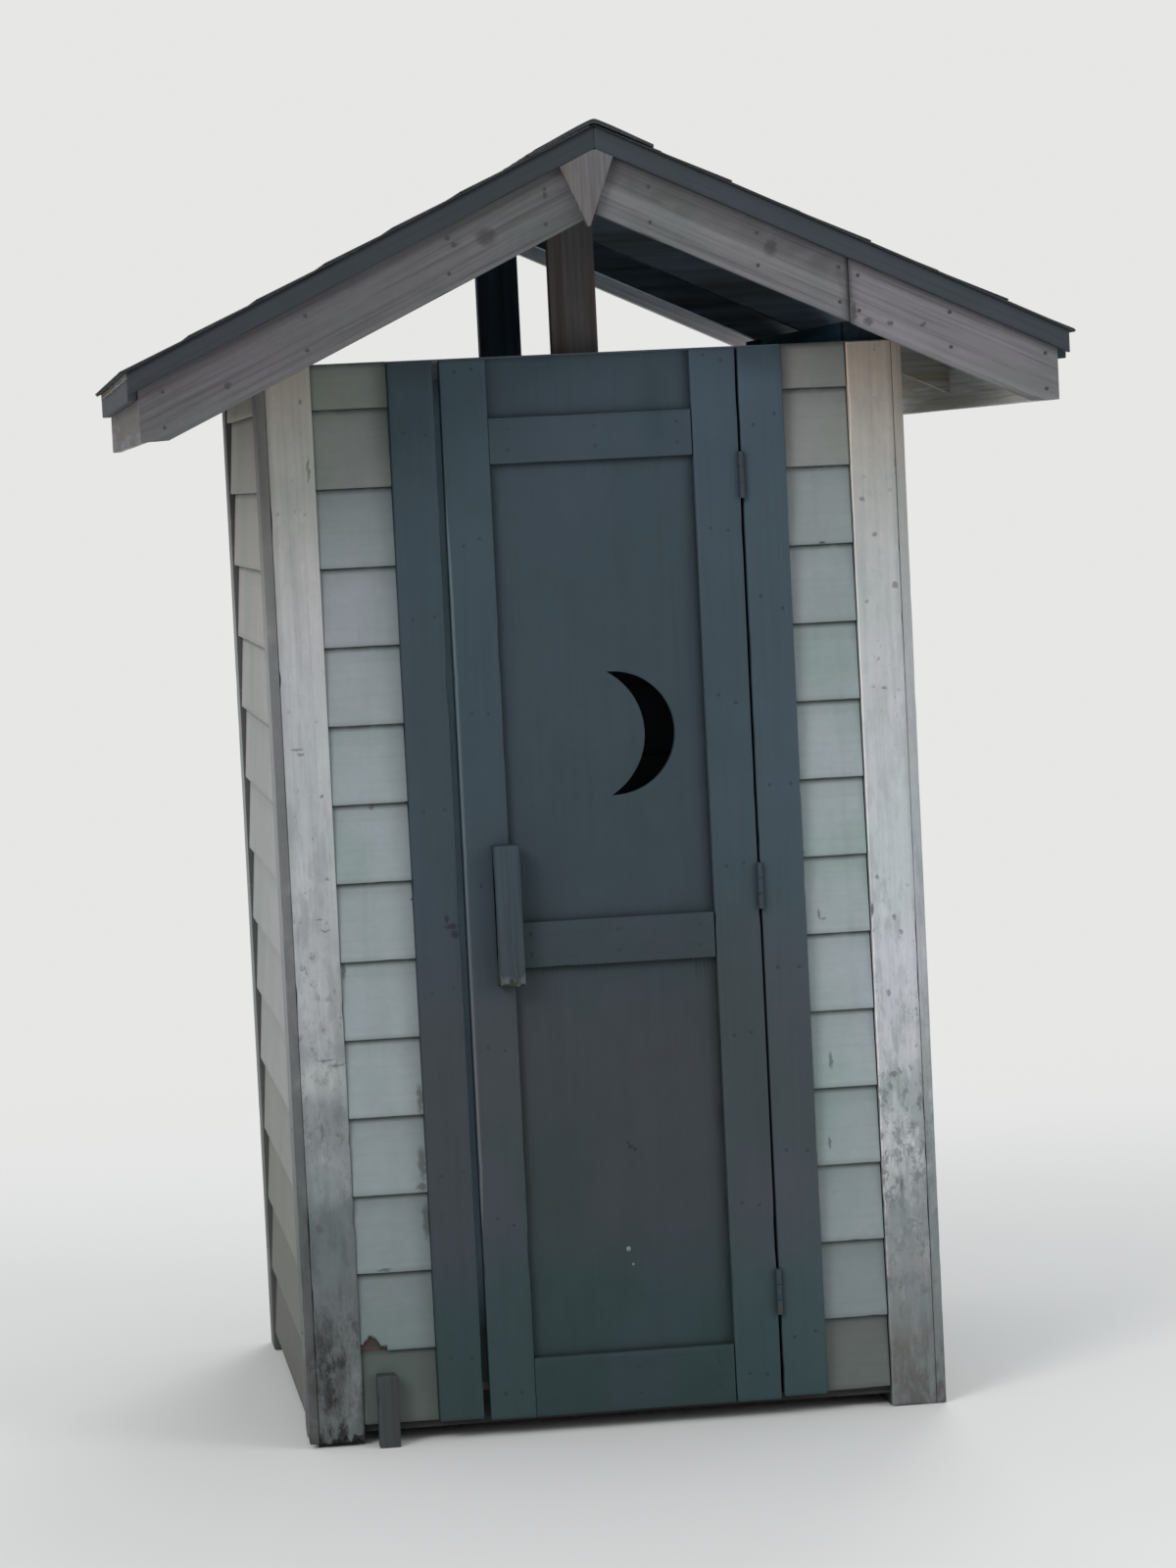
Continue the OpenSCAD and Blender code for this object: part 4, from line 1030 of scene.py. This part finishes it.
class OUTHOUSE_OT_gables(bpy.types.Operator):
    """Barge boards, rake and eave trim, fascias and the wedge at the peak"""

    bl_idname = "outhouse.gables"
    bl_label = "Gables"

    def execute(self, context):
        s = context.scene.outhouse
        rng = np.random.default_rng(15)
        fascia_x, fascia_foot, eave_x = high("fascias")[0], low("fascias")[2], high("eave_trims")[0]
        barge, rear_barge, rake = 0.146 * UPRIGHT, 0.114 * UPRIGHT, 0.038 * UPRIGHT
        front, rear = low("barge_front_left")[1], high("barge_rear")[1]

        def sloping(x0, x1, tall, y_face, side, drop=0.0, **more):
            """A strip under the roof's line, plumb at both ends, whose length falls with the slope."""
            face = Y if y_face > 0 else -Y
            origin = np.array([side * x0, y_face - TRIM * face[1], BARGE_TOP - drop - SLOPE * x0])
            return board(rng, origin, side * X - SLOPE * Z, -Z, face, (x1 - x0, tall, TRIM), **more)

        def level_foot(points):
            """Cuts a barge board's lowest corner level with the fascia."""
            return np.maximum(points, (-np.inf, -np.inf, fascia_foot))

        # Painted shadow of the rake trim along the top of a barge board, and darker joints at the splice
        def trim_shadow(a, w):
            return 0.55 * smooth(w, 0.066, 0.038)

        def before_splice(a, w):
            return np.maximum(smooth(a, 0.4550, 0.4685), 0.62 * smooth(w, 0.107, 0.082))

        def after_splice(a, w):
            return np.maximum(0.8 * smooth(a, 0.012, 0.001), trim_shadow(a, w))

        peak_gap, gap = 0.0004, 0.00075
        wood = dict(ease=0.002, chip=0.0035)
        look = dict(bow=0.0007, reshape=level_foot, **wood)
        barges = {
            "barge_board_left": ("barge_front_left", [
                sloping(peak_gap, fascia_x, barge, front, -1, tone=-0.25, grime=trim_shadow, **look)]),
            "barge_board_right": ("barge_front_right", [
                sloping(peak_gap, SPLICE - gap, barge, front, 1, tone=0.45, lines=10,
                        grime=before_splice, **look),
                sloping(SPLICE + gap, fascia_x, barge, front, 1, 0.001, tone=0.7, lines=10,
                        grime=after_splice, **look)]),
            # The rear barges' high tone makes them paler: painted light
            "barge_boards_rear": ("barge_rear", [
                sloping(peak_gap, fascia_x, rear_barge, rear, side, tone=2.2, **wood) for side in (-1, 1)]),
        }
        for name, (node, boards) in barges.items():
            piece(name, "building", finish_of("barge", s), boards, [node])
        trim, plank = dict(ease=0.0016, chip=0.0016), dict(ease=0.002, chip=0.002)
        for end, y in (("front", low("rake_trim_front")[1]), ("rear", high("rake_trim_rear")[1])):
            strips = [sloping(0.0003, eave_x, rake, y, side, **trim) for side in (-1, 1)]
            piece("rake_boards_" + end, "building", finish_of("trim", s), strips,
                  ["rake_trim_" + end])
        for name, node, slot, key, tall, look in (
                ("eave_boards", "eave_trims", "rake_trim", "trim", 0.038, trim),
                ("fascia_boards", "fascias", "weathered_boards", "fascia", 0.1235, plank)):
            lo, hi = low(node), high(node)
            boards = [board(rng, np.array([side * (hi[0] - TRIM), lo[1], lo[2]]), Y, Z, side * X,
                            (hi[1] - lo[1], tall, TRIM), **look) for side in (-1, 1)]
            piece(name, "building", finish_of(key, s), boards, [node])
        piece("wedge_block", "building", finish_of("wedge", s), [self.wedge(rake)],
              ["peak_wedge"])
        return {"FINISHED"}

    def wedge(self, rake):
        """The wedge: its upper edge follows the trim's lower edges, and its lines run straight from there to
        the tip, which is a few millimetres wide."""
        lo, hi = low("peak_wedge"), high("peak_wedge")
        tip_x, tip_wide = -0.016, 0.004
        share = np.concatenate([[0, 0.02], np.linspace(0.08, 0.92, 12), [0.98, 1.0]])
        S, L = np.meshgrid(share, np.linspace(0, 1, 14), indexing="ij")
        top_x = lo[0] + (hi[0] - lo[0]) * S
        top_z = BARGE_TOP - rake - SLOPE * np.abs(top_x) - 0.0001
        x = top_x * (1 - L) + (tip_x + (S - 0.5) * tip_wide) * L
        z = top_z * (1 - L) + (lo[2] + 0.001) * L
        rim = (S == 0) | (S == 1) | (L == 0) | (L == 1)
        face = np.stack([x, lo[1] + np.where(rim, 0.0012, 0.0002), z], -1)
        back = np.stack([x, np.full_like(x, hi[1]), z], -1)
        return slab(face, back, np.stack([z, x], -1), rim * 0.8, 0.0, 0.8)


class OUTHOUSE_OT_roof(bpy.types.Operator):
    """Shingle courses on both slopes and the folded caps on the ridge"""

    bl_idname = "outhouse.roof"
    bl_label = "Roof"

    def execute(self, context):
        s = context.scene.outhouse
        rng = np.random.default_rng(16)
        fall = math.cos(PITCH) * X - math.sin(PITCH) * Z
        face = math.sin(PITCH) * X + math.cos(PITCH) * Z
        length, thick, gap = ROOF_REACH * UPRIGHT, 0.008, 0.003
        top_line = high("shingles_right")[2] + SLOPE * low("shingles_right")[0]
        base = top_line * Z - thick * face
        for way, side in ((-1, "left"), (1, "right")):

            def on_slope(along, rise, y, mirror=(way, 1, 1)):
                """A place on this side: down the slope from the ridge, out of it, and along the eave."""
                return spread(base, (along, fall), (rise, face), (y, Y)) * mirror

            parts = [self.felt(on_slope, length, s.exposure)]
            course = 0
            while length - course * s.exposure > 0.06:
                low_edge = length - course * s.exposure - 0.001
                shown = min(s.exposure + 0.012, low_edge - 0.012)
                y = -ROOF_END - (0.5 * s.tab if course % 2 else 0.0) + 0.012 * way
                while y < ROOF_END:
                    y0, y1 = max(y + gap, -ROOF_END), min(y + s.tab - gap, ROOF_END)
                    if y1 - y0 > 0.02:
                        edge = low_edge + rng.uniform(-0.0012, 0)
                        parts.append(self.tab(rng, on_slope, edge, shown, y0, y1 - y0, s.exposure))
                    y += s.tab
                course += 1
            piece("shingle_courses_" + side, "building", finish_of("shingles", s), parts,
                  ["shingles_" + side])
        piece("ridge_caps", "building", finish_of("shingles", s), self.caps(rng), ["ridge_cap"])
        return {"FINISHED"}

    def tab(self, rng, on_slope, low_edge, shown, y0, wide, exposure):
        """One tab: a thin wedge that is highest at its lower edge, with rounded corners and an eased rim."""
        near, corner_reach = np.array([0, 0.0015, 0.012]), 0.012
        butt, thinning, sheet, eased = 0.0072, 0.0033, 0.0026, 0.0006
        d = np.unique(np.clip([*near, 0.04, 0.08, 0.12, shown], 0, shown))
        v = np.unique(np.concatenate([near, np.linspace(0.04, wide - 0.04, 6), wide - near]))
        D, V = np.meshgrid(d, v[(v >= 0) & (v <= wide)], indexing="ij")
        lift = rng.uniform(0.0, 0.0006)
        top = butt - thinning * D / exposure + lift * (1 - D / exposure) * ripple(rng, V, 0.2)
        rim = (D == 0) | (V == 0) | (V == wide)
        corner = smooth(corner_reach - V, 0, corner_reach) + smooth(V - wide + corner_reach, 0, corner_reach)
        along = low_edge - D - 0.003 * corner * (D == 0)
        upper = on_slope(along, top - eased * rim, y0 + V)
        lower = on_slope(along, np.maximum(top - sheet, 0.0002), y0 + V)
        # Painted shadow under the next course's butt
        shade_under_next = smooth(D, exposure - 0.02, exposure)
        return slab(upper, lower, np.stack([V, D], -1), rim, shade_under_next, rng.random())

    def felt(self, on_slope, length, exposure):
        """The courses under the tabs, as one closed sheet whose top steps up at each course's lower edge."""
        edges = np.arange(length, 0.02, -exposure)
        set_back, step, butt, thinning = 0.004, 0.0005, 0.0042, 0.0030
        d = np.sort(np.concatenate([edges - set_back, edges - set_back - step, [set_back]]))
        d = d[(d >= set_back) & (d <= length)]
        top = butt - thinning * np.mod(length - d, exposure) / exposure
        along = np.concatenate([d, d[::-1]])
        rise = np.concatenate([top, np.full(d.size, 0.0001)])
        y = np.array([[0.001 - ROOF_END], [ROOF_END - 0.001]])
        # Painted shade on the felt that shows between the tabs
        return tube(on_slope(along, rise, y), along, y, 0.0, 0.55, 0.2)

    def caps(self, rng):
        """Caps of the ridge: each is a strip bent over it, whose section is two slopes with a round fold
        between them, carried along the ridge with a butt that lies on the cap in front."""
        lo, hi = low("ridge_cap"), high("ridge_cap")
        width, fold, shown, lap = hi[0] * UPRIGHT, 0.012, 0.127, 0.02
        sheet, thinning, hug, eased = 0.0075 * UPRIGHT, 0.0014 * UPRIGHT, 0.0022, 0.0004
        reach = np.linspace(0, width, 12)
        x = np.unique(np.concatenate([-reach, reach, np.linspace(-fold, fold, 9)])) * math.cos(PITCH)
        bent = np.sqrt(x ** 2 + (fold / 2) ** 2) - fold / 2
        parts = []
        y = lo[1]
        while y < hi[1] - lap:
            end = min(y + shown + lap, hi[1])
            v = np.unique(np.clip([y, y + 0.0015, y + 0.03, y + 0.07, y + 0.11, end], y, end))
            drop = rng.uniform(0.0, 0.004, 2)
            V, across = np.meshgrid(v, x, indexing="ij")
            squeeze = 1 - np.where(across < 0, *drop) / width
            across = across * squeeze
            share = (V - y) / shown
            line = hi[2] - SLOPE * bent * squeeze
            top_z = line - thinning * np.clip(share, 0, 1.1) - hug * smooth(np.abs(across), 0.02, hi[0])
            rim = V == y
            upper = np.stack([across, V, top_z - eased * rim - 0.0001], -1)
            lower = np.stack([across, V, line - sheet], -1)
            place = np.stack([V, across], -1)
            # Painted shade under the next cap's butt
            parts.append(slab(upper, lower, place, rim, smooth(share, 0.85, 1.0), rng.random()))
            y += shown
        return parts


class OUTHOUSE_OT_floor(bpy.types.Operator):
    """Floor boards, laid from front to back, and the short block at the foot of the left front strip"""

    bl_idname = "outhouse.floor"
    bl_label = "Floor boards"

    def execute(self, context):
        s = context.scene.outhouse
        rng = np.random.default_rng(17)
        lo, hi = low("floor"), high("floor")
        count, joint = 9, 0.002
        share = (hi[0] - lo[0]) / count
        size = (hi[1] - lo[1], share - joint, hi[2] - lo[2])

        def edge_dirt_and_shade(a, w):
            return 0.4 * smooth(np.abs(w - share / 2), share / 2 - 0.02, share / 2)

        planks = [
            board(rng, lo + (number * share + joint / 2) * X, Y, X, Z, size, ease=0.0015, chip=0.002,
                  grime=edge_dirt_and_shade)
            for number in range(count)]
        piece("floor_planks", "building", finish_of("floor", s), planks, ["floor"])

        def weathered_end(w, t):
            return 0.0015 + 0.004 * np.abs(ripple(np.random.default_rng(8), w + t, 0.02))

        stake = filled(rng, "foot_block", -Z, X, -Y, ease=0.003, chip=0.005, foot=weathered_end, lines=6)
        piece("stake_post", "building", finish_of("stake", s), [stake], ["foot_block"])
        return {"FINISHED"}


class OUTHOUSE_OT_framing(bpy.types.Operator):
    """Finishes for the timbers, the roof deck and the hinges, whose solids stay as they are"""

    bl_idname = "outhouse.framing"
    bl_label = "Framing"

    def execute(self, context):
        s = context.scene.outhouse
        kept = {
            "timber_x": ["floor_joists", "rear_top_plate"],
            "rafter": ["rafters_left", "rafters_right", "front_top_plate"],
            "timber_y": ["skids", "sole_plates"],
            "plate": ["side_top_plates", "ridge_board"],
            "timber_z": ["corner_posts", "wall_studs"],
            "king": ["king_posts"],
            "post": ["door_posts"],
            "deck": ["roof_deck_left", "roof_deck_right"],
            "hinge": ["jamb_hinges", "leaf_hinges"],
        }
        for key, nodes in kept.items():
            for node in nodes:
                for slot in frame["nodes"][node].material_slots:
                    slot.link = "OBJECT"
                    slot.material = finish_of(key, s)
        return {"FINISHED"}


class OUTHOUSE_OT_nails(bpy.types.Operator):
    """Nail heads in the corner boards, the barges, the casings and the leaf"""

    bl_idname = "outhouse.nails"
    bl_label = "Nails"

    def execute(self, context):
        s = context.scene.outhouse
        rng = np.random.default_rng(18)
        front, rear = low("corner_front_left")[1], high("corner_rear_left")[1]
        side_x = high("corner_front_right")[0]
        corners = []
        for z in np.arange(0.22, 2.05, 0.40):
            for x in (-0.598, -0.546, 0.548, 0.598):
                for y, out in ((front, -Y), (rear, Y)):
                    corners.append(((x, y, z + rng.uniform(-0.02, 0.02)), out))
            corners += [((way * side_x, y, z), way * X) for way in (-1, 1) for y in (-0.455, 0.625)]
        for side, key, way in (("left", "corner_left", -1), ("right", "corner", 1)):
            spots = [(place, out) for place, out in corners if way * place[0] > 0]
            self.drive("corner_nails_" + side, "building", "corner_boards", finish_of(key, s), spots, s.nail)
        barges = []
        front, rear = low("barge_front_left")[1], high("barge_rear")[1]
        for x in (-0.82, -0.55, -0.28, -0.095, 0.10, 0.30, 0.452, 0.488, 0.66, 0.84):
            for fall in (0.065, 0.130):
                line = BARGE_TOP - SLOPE * abs(x)
                barges.append(((x, front, line - fall + rng.uniform(-0.004, 0.004)), -Y))
                barges.append(((x, rear, line - 0.8 * fall), Y))
        self.drive("nail_heads", "building", "hinge_steel", finish_of("nail", s), barges, s.nail)
        face, painted = low("casing_left")[1], 0.9 * s.nail
        casings = [((x, face, z + rng.uniform(-0.015, 0.015)), -Y)
                   for z in np.arange(0.16, 2.06, 0.36) for x in (-0.350, -0.308, 0.330, 0.372)]
        self.drive("casing_nails", "building", "slate_paint", finish_of("slate", s), casings, painted)
        leaf = [(on_leaf(across, LEAF_THICK, z + rng.uniform(-0.01, 0.01)), -Y)
                for z in np.arange(0.06, 2.05, 0.33)
                for across in (0.030 - LEAF_WIDTH, 0.062 - LEAF_WIDTH, -0.062, -0.028)]
        leaf += [(on_leaf(across, LEAF_THICK - 0.0004, z), -Y)
                 for z in (0.035, 0.085, 0.905, 0.945, 1.883, 1.923) for across in (-0.45, -0.28, -0.12)]
        self.drive("leaf_nails", "door", "slate_paint", finish_of("slate", s), leaf, painted)
        loose = [self.head(on_leaf(across, 0.0158, z), -Y, share * s.nail)
                 for across, z, share in ((-0.288, 0.315, 1.3), (-0.280, 0.284, 0.7))]
        piece("loose_nail", "door", finish_of("tin", s), loose)
        return {"FINISHED"}

    def drive(self, name, body, slot, finish, spots, radius):
        """One piece from nails of one size. Each spot is a nail's place and the direction that it faces."""
        piece(name, body, finish, [self.head(np.array(place), out, radius) for place, out in spots])

    def head(self, place, out, radius):
        """A domed disc: rings shrink along a quarter of an ellipse from the rim to the crown."""
        side = np.cross(out, Z)
        up = np.cross(side, out)
        turn = np.linspace(0, 2 * np.pi, 10, endpoint=False)
        angle = np.array([[-0.5], [0.0], [0.6], [1.2]])
        reach = np.where(angle < 0, 1.0, np.cos(angle)) * radius
        rise = np.where(angle < 0, -0.0006, 0.0009 * np.sin(angle))
        points = spread(place, (reach * np.cos(turn), side), (reach * np.sin(turn), up), (rise, out))
        return tube(points, reach, np.zeros(turn.size), 0.4, 0.2, 0.5)


class OUTHOUSE_OT_stage(bpy.types.Operator):
    """Floor, soft light and the camera at the photograph's angle"""

    bl_idname = "outhouse.stage"
    bl_label = "Stage"

    def execute(self, context):
        s = context.scene.outhouse
        scene = context.scene
        pale = tuple(s.backdrop_colour)
        turn = np.linspace(0, 2 * np.pi, 64, endpoint=False)
        radii = np.array([[0.001], [3.0], [8.0], [20.0], [45.0]])
        points = spread(np.zeros(3), (radii * np.cos(turn), X), (radii * np.sin(turn), Y))
        mesh = bpy.data.meshes.new("studio_floor")
        mesh.from_pydata(points.reshape(-1, 3), [], ring_quads(radii.size, turn.size).tolist())
        mesh.materials.append(self.floor_finish(pale))
        in_scene("studio_floor", mesh)
        scene.world = self.sky(pale)
        for name, spot, height, power in (
                ("key_light", (-6.6, -8.4, 7.0), 1.1, 520.0), ("fill_light", (7.0, -6.0, 4.0), 1.2, 170.0),
                ("rear_light", (3.0, 9.0, 7.0), 1.4, 330.0)):
            lamp = bpy.data.lights.new(name, "AREA")
            lamp.shape, lamp.size, lamp.energy = "DISK", 5.0, power
            self.aim(in_scene(name, lamp), spot, (0.0, 0.0, height))
        camera = in_scene("camera", bpy.data.cameras.new("camera"))
        self.aim(camera, CAMERA_PLACE, CAMERA_AIM, CAMERA_ROLL)
        camera.data.lens, camera.data.sensor_width, camera.data.clip_end = s.lens, 36.0, 200.0
        scene.camera = camera
        scene.view_settings.view_transform = "Standard"
        return {"FINISHED"}

    def aim(self, thing, spot, target, roll=0.0):
        """Puts a lamp or a camera at a spot, turns it to look at its target, and rolls it about that line."""
        thing.location = spot
        thing.rotation_mode = "QUATERNION"
        look = (Vector(target) - Vector(spot)).to_track_quat("-Z", "Y")
        thing.rotation_quaternion = look @ Quaternion((0, 0, 1), roll)

    def floor_finish(self, pale):
        """Pale floor that turns into the plain background away from the building, for the camera alone."""
        f = Finish("studio_floor")
        uneven = f.between(f.noise(f.place, scale=1.5), 0.2, 0.8, 0.985, 1.0)
        f.finish(Base_Color=f.dim(pale, uneven), Roughness=0.9)
        far = f.between(f.vector("LENGTH", f.place, output=1), 1.6, 5.5)
        amount = f.times(far, f.add("ShaderNodeLightPath").outputs["Is Camera Ray"])
        glow = f.add("ShaderNodeEmission", {"Color": (*pale, 1.0), "Strength": 1.0})
        mix = f.add("ShaderNodeMixShader", {0: amount, 1: f.shader.outputs[0], 2: glow.outputs[0]})
        f.give(f.output.inputs[0], mix.outputs[0])
        return f.material

    def sky(self, pale):
        """Soft light from all round, behind which the camera sees the plain background."""
        world = bpy.data.worlds.new("soft_sky")
        world.use_nodes = True
        sky = Nodes(world.node_tree)
        path = sky.add("ShaderNodeLightPath").outputs
        seen = sky.calc("MAXIMUM", path["Is Camera Ray"], path["Is Transmission Ray"])
        light = sky.add("ShaderNodeBackground", {"Color": (0.95, 0.98, 1.0, 1.0), "Strength": 0.62})
        back = sky.add("ShaderNodeBackground", {"Color": (*pale, 1.0), "Strength": 1.0})
        mix = sky.add("ShaderNodeMixShader", {0: seen, 1: light.outputs[0], 2: back.outputs[0]})
        sky.add("ShaderNodeOutputWorld", {0: mix.outputs[0]})
        return world


STEPS = [OUTHOUSE_OT_siding, OUTHOUSE_OT_corner_boards, OUTHOUSE_OT_casings, OUTHOUSE_OT_leaf,
         OUTHOUSE_OT_gables, OUTHOUSE_OT_roof, OUTHOUSE_OT_floor, OUTHOUSE_OT_framing, OUTHOUSE_OT_nails,
         OUTHOUSE_OT_stage]


class OUTHOUSE_PT_panel(bpy.types.Panel):
    """The steps and settings in the sidebar"""

    bl_label = "Outhouse"
    bl_idname = "OUTHOUSE_PT_panel"
    bl_space_type = "VIEW_3D"
    bl_region_type = "UI"
    bl_category = "Outhouse"

    def draw(self, context):
        for key in OuthouseSettings.__annotations__:
            self.layout.prop(context.scene.outhouse, key)
        for step in STEPS:
            self.layout.operator(step.bl_idname)


CLASSES = [OuthouseSettings, *STEPS, OUTHOUSE_PT_panel]


def register():
    for each in CLASSES:
        bpy.utils.register_class(each)
    bpy.types.Scene.outhouse = bpy.props.PointerProperty(type=OuthouseSettings)


def unregister():
    del bpy.types.Scene.outhouse
    for each in reversed(CLASSES):
        bpy.utils.unregister_class(each)


def main():
    """Makes every piece in order."""
    register()
    for step in STEPS:
        group, name = step.bl_idname.split(".")
        getattr(getattr(bpy.ops, group), name)()
    bpy.context.view_layer.update()


if __name__ == "__main__":
    main()
